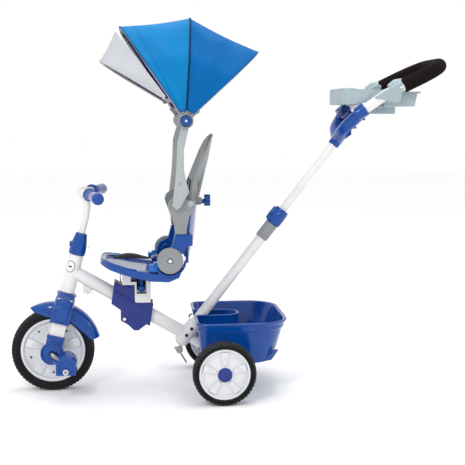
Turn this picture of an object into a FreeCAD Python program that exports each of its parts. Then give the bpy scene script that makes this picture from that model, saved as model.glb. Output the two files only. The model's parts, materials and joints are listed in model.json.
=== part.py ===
import FreeCAD, Part
import math
import os

# Children's push tricycle, in millimetres.
# X runs from the front wheel to the push handle, Y from the rider's left to the right, Z up.
# The origin is on the floor under the middle of the whole tricycle.

V = FreeCAD.Vector

# ---- Driving dimensions -------------------------------------------------------------------
FRONT_WHEEL_X = -463.0
FRONT_WHEEL_R = 108.5
REAR_WHEEL_X = -24.0
REAR_WHEEL_R = 80.5
REAR_TRACK_HALF = 190.0
HEAD_ANGLE = 14.5
MAIN_TUBE_ANGLE = 30.5
MAIN_TUBE_R = 18.0
MAIN_TUBE_MID = V(-310, 0, 259)
POLE_FOOT = V(-91, 0, 164.4)
POLE_ANGLE = 52.0
RUN_CLEAR = 0.06
SLIDE_CLEAR = 0.08
RECLINE_X = -156.0
RECLINE_Z = 359.0
HUB_X = -115.0
HUB_Z = 712.0
VISOR_X = -157.0
VISOR_Z = 762.0
HANDLE_HALF = 128.0

WHEEL_F = V(FRONT_WHEEL_X, 0, FRONT_WHEEL_R)
WHEEL_R = V(REAR_WHEEL_X, 0, REAR_WHEEL_R)
STEER = V(math.sin(math.radians(HEAD_ANGLE)), 0, math.cos(math.radians(HEAD_ANGLE)))
TUBE = V(math.cos(math.radians(MAIN_TUBE_ANGLE)), 0, -math.sin(math.radians(MAIN_TUBE_ANGLE)))
POLE = V(math.cos(math.radians(POLE_ANGLE)), 0, math.sin(math.radians(POLE_ANGLE)))
Y_AXIS = V(0, 1, 0)
ORIGIN = V(0, 0, 0)


# ---- Shape helpers ------------------------------------------------------------------------
def rod(start, end, radius):
    """Round bar between two points."""
    return Part.makeCylinder(radius, (end - start).Length, start, end - start)


def ring(start, end, outer, inner):
    """Round tube between two points."""
    return rod(start, end, outer).cut(rod(start, end, inner))


def taper(start, end, r_start, r_end):
    """Cone between two points."""
    return Part.makeCone(r_start, r_end, (end - start).Length, start, end - start)


def block(x, y, z):
    """Box from three (low, high) pairs."""
    return Part.makeBox(x[1] - x[0], y[1] - y[0], z[1] - z[0], V(x[0], y[0], z[0]))


def plate(outline, low_y, high_y):
    """Side outline of (x, z) points, as thick as from low_y to high_y."""
    points = [V(x, low_y, z) for x, z in outline]
    face = Part.Face(Part.makePolygon(points + points[:1]))
    return face.extrude(V(0, high_y - low_y, 0))


def turned(profile, centre):
    """Profile of (radius, y) points, turned about the Y line through centre."""
    points = [V(r, y, 0) for r, y in profile]
    face = Part.Face(Part.makePolygon(points + points[:1]))
    shape = face.revolve(ORIGIN, Y_AXIS, 360)
    shape.translate(centre)
    return shape


def fuse(shapes):
    """One solid from shapes that meet."""
    return shapes[0].multiFuse(shapes[1:]).removeSplitter()


def mirrored(shape):
    """The same piece on the other side of the tricycle."""
    return shape.mirror(ORIGIN, Y_AXIS)


def pair(shape):
    """Left and right pieces as separate solids."""
    return Part.makeCompound([shape, mirrored(shape)])


def on_head(shape):
    """Puts a shape drawn about an upright steering line on the leaning one."""
    shape.rotate(ORIGIN, Y_AXIS, HEAD_ANGLE)
    shape.translate(WHEEL_F)
    return shape


def head_point(s):
    """Point of the steering line, s above the front axle."""
    return WHEEL_F + STEER * s


def pole_point(s):
    """Point of the push pole's line, s above its foot."""
    return POLE_FOOT + POLE * s


def bent_path(points, radii):
    """Runs and bends of a bent tube: lists of (start, end) and (point, centre, axis, angle)."""
    runs = []
    bends = []
    start = points[0]
    for before, corner, after, radius in zip(points, points[1:], points[2:], radii):
        d_in = (corner - before).normalize()
        d_out = (after - corner).normalize()
        turn = d_in.getAngle(d_out)
        cut = radius * math.tan(turn / 2)
        axis = d_in.cross(d_out).normalize()
        begin = corner - d_in * cut
        centre = begin + axis.cross(d_in) * radius
        runs.append((start, begin))
        bends.append((begin, centre, axis, d_in, math.degrees(turn)))
        start = corner + d_out * cut
    runs.append((start, points[-1]))
    return runs, bends


def bent_rod(points, radii, radius):
    """Round bar along straight runs joined by tangent bends."""
    runs, bends = bent_path(points, radii)
    pieces = [rod(a, b, radius) for a, b in runs]
    for begin, centre, axis, direction, angle in bends:
        section = Part.Face(Part.Wire(Part.makeCircle(radius, begin, direction)))
        pieces.append(section.revolve(centre, axis, angle))
    return fuse(pieces)


def arch_points(centre_x, centre_z, angle, radius, half_width, foot):
    """Corners of a U-shaped hoop that stands on the Y line through (centre_x, centre_z)."""
    out = V(math.cos(math.radians(angle)), 0, math.sin(math.radians(angle)))
    base = V(centre_x, 0, centre_z)
    low = base + out * foot
    shoulder = base + out * (radius * 0.60)
    crown = base + out * radius
    side = V(0, half_width, 0)
    top = V(0, half_width * 0.66, 0)
    right = [low + side, shoulder + side * 1.03, crown + top]
    left = [V(p.x, -p.y, p.z) for p in reversed(right)]
    return right + left


ARCH_BENDS = [60.0, 70.0, 70.0, 60.0]


def arch_wire(corners):
    """Closed outline of a hoop: its rounded line and the straight line between its feet."""
    runs, bends = bent_path(corners, ARCH_BENDS)
    edges = []
    for index, (start, end) in enumerate(runs):
        edges.append(Part.makeLine(start, end))
        if index < len(bends):
            begin, centre, axis, _, angle = bends[index]
            spoke = begin - centre
            middle = FreeCAD.Rotation(axis, angle / 2).multVec(spoke) + centre
            finish = FreeCAD.Rotation(axis, angle).multVec(spoke) + centre
            edges.append(Part.Arc(begin, middle, finish).toShape())
    edges.append(Part.makeLine(corners[-1], corners[0]))
    return Part.Wire(Part.__sortEdges__(edges))


def round_rect(x, half, z, r_front, r_back):
    """Rounded outline at height z: x is (low, high), half the half width."""
    edges = []
    corners = [(x[1], half, r_back), (x[0], half, r_front), (x[0], -half, r_front), (x[1], -half, r_back)]
    starts = []
    for cx, cy, r in corners:
        sx = math.copysign(1, cx - (x[0] + x[1]) / 2)
        sy = math.copysign(1, cy)
        centre = V(cx - sx * r, cy - sy * r, z)
        on_x = centre + V(sx * r, 0, 0)
        on_y = centre + V(0, sy * r, 0)
        mid = centre + V(sx * r, sy * r, 0).normalize() * r
        first, last = (on_x, on_y) if sx * sy > 0 else (on_y, on_x)
        starts.append((first, last))
        edges.append(Part.Arc(first, mid, last).toShape())
    for index in range(4):
        edges.append(Part.makeLine(starts[index][1], starts[(index + 1) % 4][0]))
    return Part.Wire(Part.__sortEdges__(edges))


def loft(wires):
    """Smooth solid through closed outlines."""
    return Part.makeLoft(wires, True, True)


# ---- Frame --------------------------------------------------------------------------------
HEAD_LOW = 158.6
HEAD_HIGH = 261.0
HEAD_R = 19.5
BUSH_R = 14.0
STEERER_R = 11.0
AXLE_R = 5.0
AXLE_TUBE_R = 9.0
AXLE_TUBE_HALF = 128.0
SOCKET_R = 20.0
POLE_R = 14.0
POLE_BORE = 11.0
POLE_LOW = -40.0
POLE_TOP = 346.0
SLEEVE_LOW = 298.5
SLEEVE_R = 16.5
CLAMP_TOP = 393.0
CLAMP_R = 19.0
UPPER_R = 10.9
TUBE_END_X = -118.0


def tube_point(x):
    """Point of the main tube's centre line at a given x."""
    return MAIN_TUBE_MID + TUBE * ((x - MAIN_TUBE_MID.x) / TUBE.x)


def main_frame():
    head = rod(head_point(HEAD_LOW), head_point(HEAD_HIGH), HEAD_R)
    main = rod(tube_point(-409), tube_point(TUBE_END_X), MAIN_TUBE_R)
    socket = rod(pole_point(-46), pole_point(8), SOCKET_R)
    foot = Part.makeSphere(SOCKET_R, pole_point(-46))
    strut = rod(pole_point(-34), WHEEL_R, 12)
    axle_tube = rod(WHEEL_R - Y_AXIS * AXLE_TUBE_HALF, WHEEL_R + Y_AXIS * AXLE_TUBE_HALF, AXLE_TUBE_R)
    lug = block((-382, -358), (-4, 4), (258, 284))
    solid = fuse([head, main, socket, foot, strut, axle_tube, lug])
    solid = solid.cut(rod(head_point(HEAD_LOW - 1), head_point(HEAD_HIGH + 1), BUSH_R))
    solid = solid.cut(rod(pole_point(POLE_LOW), pole_point(9), POLE_R))
    return solid.cut(rod(WHEEL_R - Y_AXIS * 130, WHEEL_R + Y_AXIS * 130, AXLE_R))


def head_bushes():
    low = ring(head_point(HEAD_LOW), head_point(HEAD_LOW + 20), BUSH_R, STEERER_R + RUN_CLEAR)
    high = ring(head_point(HEAD_HIGH - 20), head_point(HEAD_HIGH), BUSH_R, STEERER_R + RUN_CLEAR)
    return Part.makeCompound([low, high])


def rear_axle():
    half = REAR_TRACK_HALF + 15
    return rod(WHEEL_R - Y_AXIS * half, WHEEL_R + Y_AXIS * half, AXLE_R)


def axle_push_nuts():
    inner = WHEEL_R + Y_AXIS * (REAR_TRACK_HALF + 12.5)
    outer = inner + Y_AXIS * 2
    return pair(ring(inner, outer, 9, AXLE_R))


def lower_push_tube():
    return ring(pole_point(POLE_LOW), pole_point(POLE_TOP), POLE_R, POLE_BORE)


def push_tube_sleeve():
    return ring(pole_point(SLEEVE_LOW), pole_point(POLE_TOP), SLEEVE_R, POLE_R)


def frame_screws():
    side = V(0, SOCKET_R - 0.5, 0)
    heads = []
    for s in (-30, -8):
        at = pole_point(s) + side
        heads.append(rod(at, at + Y_AXIS * 2, 4.5))
        heads.append(mirrored(heads[-1]))
    for y in (-85, 85):
        heads.append(rod(V(BIN_SCREW_X, y, BIN_BOTTOM - 3), V(BIN_SCREW_X, y, BIN_BOTTOM), 6))
    return Part.makeCompound([h.cut(rod(pole_point(-60), pole_point(8), SOCKET_R)) for h in heads])


CLIP_X = -128.0
CLIP_Z = 93.0


def hitch_clip():
    cheek = plate([(-142, 104), (-120, 110), (-118, 96), (-124, 88), (-133, 89)], 4, 6)
    bolt = rod(V(CLIP_X, -6, CLIP_Z), V(CLIP_X, 6, CLIP_Z), 1.5)
    bridge = plate([(-142, 104), (-120, 110), (-119.6, 106), (-141, 100)], -6, 6)
    solid = fuse([cheek, mirrored(cheek), bridge, bolt])
    return solid.cut(Part.makeSphere(SOCKET_R, pole_point(-46)))


def hitch_pin():
    eye = V(CLIP_X, 0, CLIP_Z)
    along = V(0.52, 0, -0.854).normalize()
    head = rod(eye - Y_AXIS * 2.5, eye + Y_AXIS * 2.5, 4.5)
    shank = rod(eye + along * 3, eye + along * 34, 2.2)
    tip = taper(eye + along * 34, eye + along * 38, 2.2, 1.0)
    return fuse([head, shank, tip]).cut(rod(eye - Y_AXIS * 4, eye + Y_AXIS * 4, 1.5 + RUN_CLEAR))


BIN_X = (-86.0, 146.0)
BIN_HALF = 152.0
BIN_LOW_X = (-76.0, 120.0)
BIN_LOW_HALF = 122.0
BIN_BOTTOM = 86.0
BIN_FLOOR = 92.0
BIN_SCREW_X = -8.0
BIN_TOP = 198.0
BIN_WALL = 4.0
RIM_LOW = 176.0
RIM_OUT = 3.5
SLOT_HALF = 34.0
SLOT_END = 28.0


def bin_section(z, grow):
    """Outline of the bin at height z, grown outwards."""
    share = (z - BIN_BOTTOM) / (BIN_TOP - BIN_BOTTOM)
    low = BIN_LOW_X[0] + (BIN_X[0] - BIN_LOW_X[0]) * share - grow
    high = BIN_LOW_X[1] + (BIN_X[1] - BIN_LOW_X[1]) * share + grow
    half = BIN_LOW_HALF + (BIN_HALF - BIN_LOW_HALF) * share + grow
    return round_rect((low, high), half, z, 24 + grow, 78 + grow)


def slot_body(half, end, low_z, high_z):
    """Straight channel with a round rear end."""
    straight = block((-120, end - half), (-half, half), (low_z, high_z))
    return straight.fuse(rod(V(end - half, 0, low_z), V(end - half, 0, high_z), half))


def storage_bin():
    outer = loft([bin_section(BIN_BOTTOM, 0), bin_section(BIN_TOP, 0)])
    inner = loft([bin_section(BIN_FLOOR, -BIN_WALL), bin_section(BIN_TOP + 1, -BIN_WALL)])
    rim = loft([bin_section(RIM_LOW, RIM_OUT), bin_section(BIN_TOP, RIM_OUT)])
    rim = rim.cut(loft([bin_section(RIM_LOW - 1, -1), bin_section(BIN_TOP + 1, -1)]))
    channel = slot_body(SLOT_HALF + BIN_WALL, SLOT_END + BIN_WALL, BIN_BOTTOM, BIN_TOP)
    solid = outer.cut(inner).fuse(channel.common(outer)).fuse(rim)
    solid = solid.cut(slot_body(SLOT_HALF, SLOT_END, BIN_BOTTOM - 1, BIN_TOP + 1))
    return solid.cut(rod(WHEEL_R - Y_AXIS * 150, WHEEL_R + Y_AXIS * 150, AXLE_TUBE_R)).removeSplitter()


# ---- Steering: fork, mudguard, handlebar --------------------------------------------------
LEG_IN = 33.0
LEG_OUT = 46.0
LEG_HALF = 19.0
CRANK_R = 6.0
CROWN_LOW = 128.0
CROWN_HIGH = 146.0
COLLAR_LOW = 261.5
COLLAR_HIGH = 320.0
STEM_R = 9.0
BAR_TUBE_R = 9.4
GUARD_R = 127.0
GUARD_HALF = 31.5
GUARD_WALL = 3.0
GUARD_LOW = 92.0
GUARD_SPAN = (-25, 73)


def fork_legs(low_s):
    """The two flat legs, from low_s above the axle up to the crown."""
    leg = on_head(block((-LEG_HALF, LEG_HALF), (LEG_IN, LEG_OUT), (low_s, CROWN_HIGH)))
    return [leg, mirrored(leg)]


def fork():
    legs = []
    leg = block((-LEG_HALF, LEG_HALF), (LEG_IN, LEG_OUT), (0, CROWN_HIGH))
    leg = leg.fuse(rod(V(0, LEG_IN, 0), V(0, LEG_OUT, 0), LEG_HALF))
    crown = block((-LEG_HALF + 2, LEG_HALF - 2), (-LEG_OUT, LEG_OUT), (CROWN_LOW, CROWN_HIGH))
    steerer = rod(V(0, 0, CROWN_LOW), V(0, 0, COLLAR_HIGH - 8), STEERER_R)
    solid = fuse([leg, mirrored(leg), crown, steerer])
    solid = solid.cut(rod(V(0, -60, 0), V(0, 60, 0), CRANK_R + RUN_CLEAR))
    solid = solid.cut(rod(V(0, 0, 195), V(0, 0, COLLAR_HIGH), STEM_R))
    return on_head(solid)


def mudguard_profile(grow):
    """Arched cross-section of the mudguard, as (radius, y) points."""
    r = GUARD_R + grow
    h = GUARD_HALF + grow
    return [(GUARD_LOW, -h), (116, -h), (r - 2.5, -h * 0.66), (r, -h * 0.28), (r, h * 0.28), (r - 2.5, h * 0.66),
            (116, h), (GUARD_LOW, h)]


def guard_sweep(profile, front, back):
    """Part of a ring about the front axle: angles are from straight up, plus towards the rear."""
    points = [V(0, y, r) for r, y in profile]
    face = Part.Face(Part.makePolygon(points + points[:1]))
    face.rotate(ORIGIN, Y_AXIS, front)
    shape = face.revolve(ORIGIN, Y_AXIS, back - front)
    shape.translate(WHEEL_F)
    return shape


def front_mudguard():
    shell = guard_sweep(mudguard_profile(0), *GUARD_SPAN)
    inner = [(r if r > GUARD_LOW else GUARD_LOW - 2, y) for r, y in mudguard_profile(-GUARD_WALL)]
    return shell.cut(guard_sweep(inner, GUARD_SPAN[0] - 1, GUARD_SPAN[1] + 1))


def fork_crown_cover():
    low = Part.Wire(Part.Ellipse(V(0, 56, 112), V(27, 0, 112), V(0, 0, 112)).toShape())
    waist = Part.Wire(Part.Ellipse(V(0, 51, 134), V(26, 0, 134), V(0, 0, 134)).toShape())
    top = Part.Wire(Part.Ellipse(V(0, 25.2, 156), V(25, 0, 156), V(0, 0, 156)).toShape())
    cap = Part.makeLoft([low, waist, top], True, False)
    pillar = block((-26, 26), (LEG_IN, 54), (80, 118))
    solid = on_head(fuse([cap, pillar, mirrored(pillar)]))
    solid = solid.cut(guard_sweep([(60, -32), (GUARD_R, -32), (GUARD_R, 32), (60, 32)], -40, 70))
    for tool in fork_legs(60):
        solid = solid.cut(tool)
    crown = block((-LEG_HALF + 2, LEG_HALF - 2), (-LEG_OUT, LEG_OUT), (CROWN_LOW, CROWN_HIGH))
    solid = solid.cut(on_head(crown))
    return solid.cut(rod(head_point(120), head_point(160), STEERER_R)).removeSplitter()


def fork_end_caps():
    disc = rod(V(0, LEG_IN, 0), V(0, 56, 0), 29)
    sleeve = block((-22, 22), (LEG_IN, 52), (0, 46))
    solid = on_head(fuse([disc, sleeve]))
    solid = solid.cut(rod(WHEEL_F, WHEEL_F + Y_AXIS * 60, CRANK_R + 1))
    leg = block((-LEG_HALF, LEG_HALF), (LEG_IN, LEG_OUT), (0, 60))
    leg = leg.fuse(rod(V(0, LEG_IN, 0), V(0, LEG_OUT, 0), LEG_HALF))
    return pair(solid.cut(on_head(leg)))


def stem_collar():
    body = taper(V(0, 0, COLLAR_LOW), V(0, 0, COLLAR_HIGH - 6), 21.5, 14.5)
    lip = rod(V(0, 0, COLLAR_HIGH - 6), V(0, 0, COLLAR_HIGH), 14.5)
    boss = rod(V(10, 0, COLLAR_LOW + 24), V(25, 0, COLLAR_LOW + 24), 7)
    solid = fuse([body, lip, boss])
    solid = solid.cut(rod(V(0, 0, COLLAR_LOW - 1), V(0, 0, COLLAR_HIGH - 8), STEERER_R))
    return on_head(solid.cut(rod(V(0, 0, COLLAR_HIGH - 9), V(0, 0, COLLAR_HIGH + 1), STEM_R)))


BAR_MID = V(-384, 0, 529)
GRIP_IN = V(-358.5, 70, 524.5)
GRIP_OUT = V(-334, 164, 521.5)


def handlebar():
    stem = bent_rod([head_point(200), head_point(365), V(-366.5, 0, 497), BAR_MID], [60, 30], STEM_R)
    grip = (GRIP_OUT - GRIP_IN).normalize()
    right = [GRIP_OUT, GRIP_IN - grip * 8, BAR_MID + V(0, 24, 0)]
    left = [V(p.x, -p.y, p.z) for p in reversed(right)]
    bar = bent_rod(right + left, [40, 30, 30, 40], BAR_TUBE_R)
    return fuse([stem, bar])


def handlebar_grips():
    sleeve = ring(GRIP_IN, GRIP_OUT, 14, BAR_TUBE_R)
    flange = ring(GRIP_IN, GRIP_IN + (GRIP_OUT - GRIP_IN).normalize() * 5, 16.5, BAR_TUBE_R)
    knob = Part.makeSphere(14.5, GRIP_OUT).cut(rod(GRIP_IN, GRIP_OUT, BAR_TUBE_R))
    return pair(fuse([sleeve, flange, knob]))


def steering_screws():
    collar = rod(V(25, 0, COLLAR_LOW + 24), V(27.5, 0, COLLAR_LOW + 24), 4.5)
    side = rod(V(0, 54, 100), V(0, 56.5, 100), 5)
    return Part.makeCompound([on_head(s) for s in (collar, side, mirrored(side))])


# ---- Wheels -------------------------------------------------------------------------------
def tyre(outer, inner, half, centre):
    """Rounded tyre about a Y axis."""
    side = [(inner, half - 2), (outer - 10, half), (outer - 3, half * 0.76), (outer, half * 0.36)]
    return turned(side + [(r, -y) for r, y in reversed(side)], centre)


def wheel_disc(outer, half, web, spoke_count, centre, bore):
    """Moulded wheel: rim, thin web, hub barrel and raised spokes."""
    rim = turned([(outer - 6, -half), (outer, -half), (outer, half), (outer - 6, half)], centre)
    middle = turned([(bore, -web), (outer - 5, -web), (outer - 5, web), (bore, web)], centre)
    barrel = turned([(bore, -half - 1), (outer * 0.3, -half - 1), (outer * 0.3, half + 1), (bore, half + 1)], centre)
    pieces = [rim, middle, barrel]
    for index in range(spoke_count):
        spoke = block((outer * 0.28, outer - 5), (-web - 4, web + 4), (-outer * 0.13, outer * 0.13))
        spoke.rotate(ORIGIN, Y_AXIS, 360 / spoke_count * index)
        spoke.translate(centre)
        pieces.append(spoke)
    return fuse(pieces)


CRANK_ARM = V(41, 0, -26.5)
CRANK_OUT = 66.0
PEDAL_IN = 80.0
PEDAL_OUT = 142.0
DISC_F = 84.5
SPOKES = 5


def crank():
    left_end = WHEEL_F - Y_AXIS * CRANK_OUT
    right_end = WHEEL_F + Y_AXIS * CRANK_OUT
    tail = Y_AXIS * (PEDAL_OUT + 2 - CRANK_OUT)
    points = [left_end + CRANK_ARM - tail, left_end + CRANK_ARM, left_end, right_end,
              right_end - CRANK_ARM, right_end - CRANK_ARM + tail]
    return bent_rod(points, [9, 9, 9, 9], CRANK_R)


def front_wheel_screws():
    screws = []
    for index in range(SPOKES):
        angle = math.radians(36 + 72 * index)
        at = WHEEL_F + V(math.cos(angle) * 62, 9, math.sin(angle) * 62)
        screws.append(rod(at, at + Y_AXIS * 1.5, 3))
        screws.append(mirrored(screws[-1]))
    return Part.makeCompound(screws)


def pedal_nuts():
    nuts = []
    for side in (-1, 1):
        at = WHEEL_F - CRANK_ARM * side + Y_AXIS * side * (PEDAL_OUT + 0.4)
        nuts.append(ring(at, at + Y_AXIS * side * 5, 7, CRANK_R - 1))
    return Part.makeCompound([n.cut(crank()) for n in nuts])


def pedal(side):
    """D-shaped pedal block that turns on the crank's end; side is -1 left, 1 right."""
    at = WHEEL_F - CRANK_ARM * side
    low = min(side * PEDAL_IN, side * PEDAL_OUT)
    high = max(side * PEDAL_IN, side * PEDAL_OUT)
    barrel = rod(V(at.x, low, at.z + 15), V(at.x, high, at.z + 15), 25)
    lower = block((at.x - 25, at.x + 25), (low, high), (at.z - 9, at.z + 15))
    solid = fuse([barrel, lower])
    return solid.cut(rod(V(at.x, low - 1, at.z), V(at.x, high + 1, at.z), CRANK_R + RUN_CLEAR))


REAR_DISC = 65.0
REAR_HALF = 19.0


def rear_centre(side):
    return WHEEL_R + Y_AXIS * REAR_TRACK_HALF * side


def rear_disc(side):
    centre = rear_centre(side)
    solid = wheel_disc(REAR_DISC, 16, 9, SPOKES, centre, AXLE_R + RUN_CLEAR)
    face = centre + Y_AXIS * side * 17
    return solid.cut(rod(face - Y_AXIS * side * 6, face + Y_AXIS * side, 13))


def rear_cap(side):
    face = rear_centre(side) + Y_AXIS * side * 17
    dome = rod(face, face + Y_AXIS * side * 4, 18.5)
    spigot = ring(face - Y_AXIS * side * 4, face, 13, 10.5)
    return fuse([dome, spigot])


# ---- Seat that slides along the main tube -------------------------------------------------
COLUMN_HALF = 29.0
SEAT_Z_FRONT = 282.0
SEAT_Z_REAR = 234.0
CHEEK_IN = 22.5
CORE_END = -243.0
KNOB_X = -228.0
KNOB_Y = -16.0
PAN_HALF = 124.0
EAR_IN = 94.0
EAR_OUT = 103.5
ARM_OUT = 122.0
PIN_R = 5.0


def tube_bore(clear):
    return rod(tube_point(-409), tube_point(-60), MAIN_TUBE_R + clear)


def seat_carriage():
    outline = [(-299, 291), (-284, SEAT_Z_FRONT), (-246, SEAT_Z_FRONT), (-246, SEAT_Z_REAR), (-204, SEAT_Z_REAR),
               (-197, 231), (-207, 170), (-216, 175), (-237, 159), (-249, 159), (-264, 174), (-284, 187),
               (-284, 215), (-308, 232)]
    solid = plate(outline, -COLUMN_HALF, COLUMN_HALF).cut(tube_bore(SLIDE_CLEAR))
    gap = block((CORE_END, -180), (-CHEEK_IN, CHEEK_IN), (140, SEAT_Z_REAR))
    return solid.cut(gap)


def seat_column():
    top = 318
    outline = [(-279, top), (-279, SEAT_Z_FRONT), (-246, SEAT_Z_FRONT), (-246, SEAT_Z_REAR), (-204, SEAT_Z_REAR),
               (-204, top), (-215, top), (-215, 258), (-241, 258), (-241, 290), (-256, 290), (-256, top)]
    solid = plate(outline, -COLUMN_HALF, COLUMN_HALF)
    return solid.cut(tube_bore(0.4)).cut(pan_body())


def pan_body():
    outline = [(-337, 344), (-326, 355), (-258, 337), (-200, 327), (-165, 321), (-140, 325), (-127, 344),
               (-121, 341), (-133, 314), (-160, 303), (-207, 306), (-258, 319), (-308, 332)]
    side = plate(outline, -PAN_HALF, PAN_HALF)
    plan = Part.Face(round_rect((-337, -117), PAN_HALF, 290, 96, 20)).extrude(V(0, 0, 80))
    return side.common(plan)


def seat_pan():
    ear = plate([(-174, 312), (-172, RECLINE_Z), (-140, RECLINE_Z), (-138, 318)], EAR_IN, EAR_OUT)
    ear = ear.fuse(rod(V(RECLINE_X, EAR_IN, RECLINE_Z), V(RECLINE_X, EAR_OUT, RECLINE_Z), 16))
    solid = pan_body()
    for side in (-1, 1):
        pocket = rod(V(RECLINE_X, side * EAR_OUT, RECLINE_Z), V(RECLINE_X, side * 130, RECLINE_Z), 39)
        solid = solid.cut(pocket)
    solid = fuse([solid, ear, mirrored(ear)])
    dish = plate([(-322, 360), (-318, 347), (-258, 331), (-202, 322), (-180, 320), (-172, 372)], -92, 92)
    dish = dish.common(Part.Face(round_rect((-322, -172), 92, 290, 70, 12)).extrude(V(0, 0, 90)))
    solid = solid.cut(dish)
    solid = solid.cut(rod(V(RECLINE_X, -110, RECLINE_Z), V(RECLINE_X, 110, RECLINE_Z), PIN_R))
    return solid.cut(rod(V(KNOB_X, KNOB_Y, 290), V(KNOB_X, KNOB_Y, 318), 5 + RUN_CLEAR)).removeSplitter()


def recline_discs():
    disc = rod(V(RECLINE_X, ARM_OUT + 1, RECLINE_Z), V(RECLINE_X, ARM_OUT + 10, RECLINE_Z), 33)
    pin = rod(V(RECLINE_X, EAR_IN, RECLINE_Z), V(RECLINE_X, ARM_OUT + 1, RECLINE_Z), PIN_R)
    return pair(disc.fuse(pin).removeSplitter())


def seat_screws():
    screw = rod(V(RECLINE_X, ARM_OUT + 10, RECLINE_Z), V(RECLINE_X, ARM_OUT + 12, RECLINE_Z), 6)
    bolt = rod(V(-274, COLUMN_HALF, 191), V(-274, COLUMN_HALF + 3, 191), 4.5)
    return Part.makeCompound([screw, mirrored(screw), bolt, mirrored(bolt)])


def seat_lock_knob():
    shank = rod(V(KNOB_X, KNOB_Y, 276), V(KNOB_X, KNOB_Y, 316), 5)
    grip = taper(V(KNOB_X, KNOB_Y, 264), V(KNOB_X, KNOB_Y, 277), 7.5, 11)
    return fuse([shank, grip])


def lap_strap():
    return plate([(-300, 349.5), (-262, 344), (-200, 341), (-176, 341), (-176, 338.5), (-200, 338.5),
                  (-262, 341.5), (-300, 347)], -19, 19)


def harness_buckles():
    buckle = block((-200, -170), (-24, 24), (341.2, 353))
    clip = block((-206, -188), (PAN_HALF - 26, PAN_HALF - 2), (333, 352))
    return Part.makeCompound([buckle, clip, mirrored(clip)])


# ---- Backrest -----------------------------------------------------------------------------
def band_section(z, x_side, x_back, half, wall):
    """Curved outline of a bucket back at height z, with forward sides."""
    outer = Part.Arc(V(x_side, -half, z), V(x_back, 0, z), V(x_side, half, z)).toShape()
    inner = Part.Arc(V(x_side - wall, half - 1, z), V(x_back - wall, 0, z), V(x_side - wall, 1 - half, z)).toShape()
    right = Part.makeLine(V(x_side, half, z), V(x_side - wall, half - 1, z))
    left = Part.makeLine(V(x_side - wall, 1 - half, z), V(x_side, -half, z))
    return Part.Wire([outer, right, inner, left])


BACK_SPLIT = 500.0
POLE_NOTCH = 24.0


def back_shell():
    rows = [(347, -107, -106, 86), (400, -108, -89, 96), (450, -104, -84, 102), (BACK_SPLIT - 1, -100, -80, 106)]
    shell = loft([band_section(z, s, b, h, 7) for z, s, b, h in rows])
    arm = plate([(-152, 392), (-143, 425), (-112, 425), (-112, 396), (-126, 374)], 107, ARM_OUT)
    eye = rod(V(RECLINE_X, 104.5, RECLINE_Z), V(RECLINE_X, ARM_OUT, RECLINE_Z), 27)
    link = plate([(-182, 366), (-152, 393), (-126, 375), (-134, 342)], 107, ARM_OUT)
    web = plate([(-114, 396), (-114, 425), (-98, 425), (-98, 396)], 88, ARM_OUT)
    side = fuse([arm, eye, link, web])
    solid = fuse([shell, side, mirrored(side)])
    solid = solid.cut(slot_body(POLE_NOTCH, -60, 340, 372))
    return solid.cut(rod(V(RECLINE_X, -125, RECLINE_Z), V(RECLINE_X, 125, RECLINE_Z), PIN_R + RUN_CLEAR))


def high_back():
    rows = [(BACK_SPLIT, -100, -80, 106), (547, -93, -72, 101), (595, -74, -54, 92), (630, -61, -46, 80),
            (655, -50, -41, 60), (668, -43, -39, 36)]
    return Part.makeLoft([band_section(z, s, b, h, 8) for z, s, b, h in rows], True, False)


PLATE_IN = 109.0
BUTTON_X = -103.0
BUTTON_Z = 504.0


def back_side_plates():
    outline = [(-143, 426), (-145, 452), (-156, 481), (-161, 497), (-157, 510), (-145, 520), (-122, 517),
               (-90, 510), (-90, 494), (-106, 472), (-112, 443), (-114, 426)]
    solid = plate(outline, PLATE_IN, ARM_OUT)
    solid = solid.cut(rod(V(BUTTON_X, PLATE_IN + 3, BUTTON_Z), V(BUTTON_X, 130, BUTTON_Z), 7.5 + RUN_CLEAR))
    return pair(solid)


def post_button(side):
    low = V(BUTTON_X, side * (PLATE_IN + 6.2), BUTTON_Z)
    return rod(low, V(BUTTON_X, side * (ARM_OUT + 3), BUTTON_Z), 7.5)


def shoulder_straps():
    strap = plate([(-118, 400), (-111, 440), (-107, 490), (-98, 560), (-95.5, 560), (-104.5, 490),
                   (-108.5, 440), (-115.5, 400)], 28, 58)
    return pair(strap)


def back_knob():
    shank = rod(V(-72.5, 0, 497), V(-58, 0, 500), 6)
    upper = rod(V(-60, 0, 510), V(-48, 0, 510), 7.5)
    lower = rod(V(-60, 0, 496), V(-48, 0, 496), 9.5)
    return fuse([shank, upper, lower])


# ---- Canopy -------------------------------------------------------------------------------
POST_IN = 126.0
POST_OUT = 137.0
HUB_OUT = 149.0
KNOB_OUT = 159.0
BOW_R = 3.5
BOWS = [(42.5, 252.0), (86.4, 251.0), (124.5, 279.0)]
BOW_HALF = 143.0
COVER_GAP = 5.0
COVER_WALL = 2.0


def canopy_posts():
    outline = [(-150, 500), (-139, 489), (-128, 497), (-107, 534), (-114, 560), (-120, 590), (-120, 640),
               (-106, 702), (-124, 702), (-136, 660), (-138, 610), (-141, 570), (-146, 528)]
    blade = plate(outline, POST_IN, POST_OUT)
    hub = rod(V(HUB_X, POST_IN, HUB_Z), V(HUB_X, POST_OUT, HUB_Z), 17)
    solid = fuse([blade, hub])
    return pair(solid.cut(rod(V(HUB_X, 120, HUB_Z), V(HUB_X, 140, HUB_Z), 4 + RUN_CLEAR)))


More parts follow.
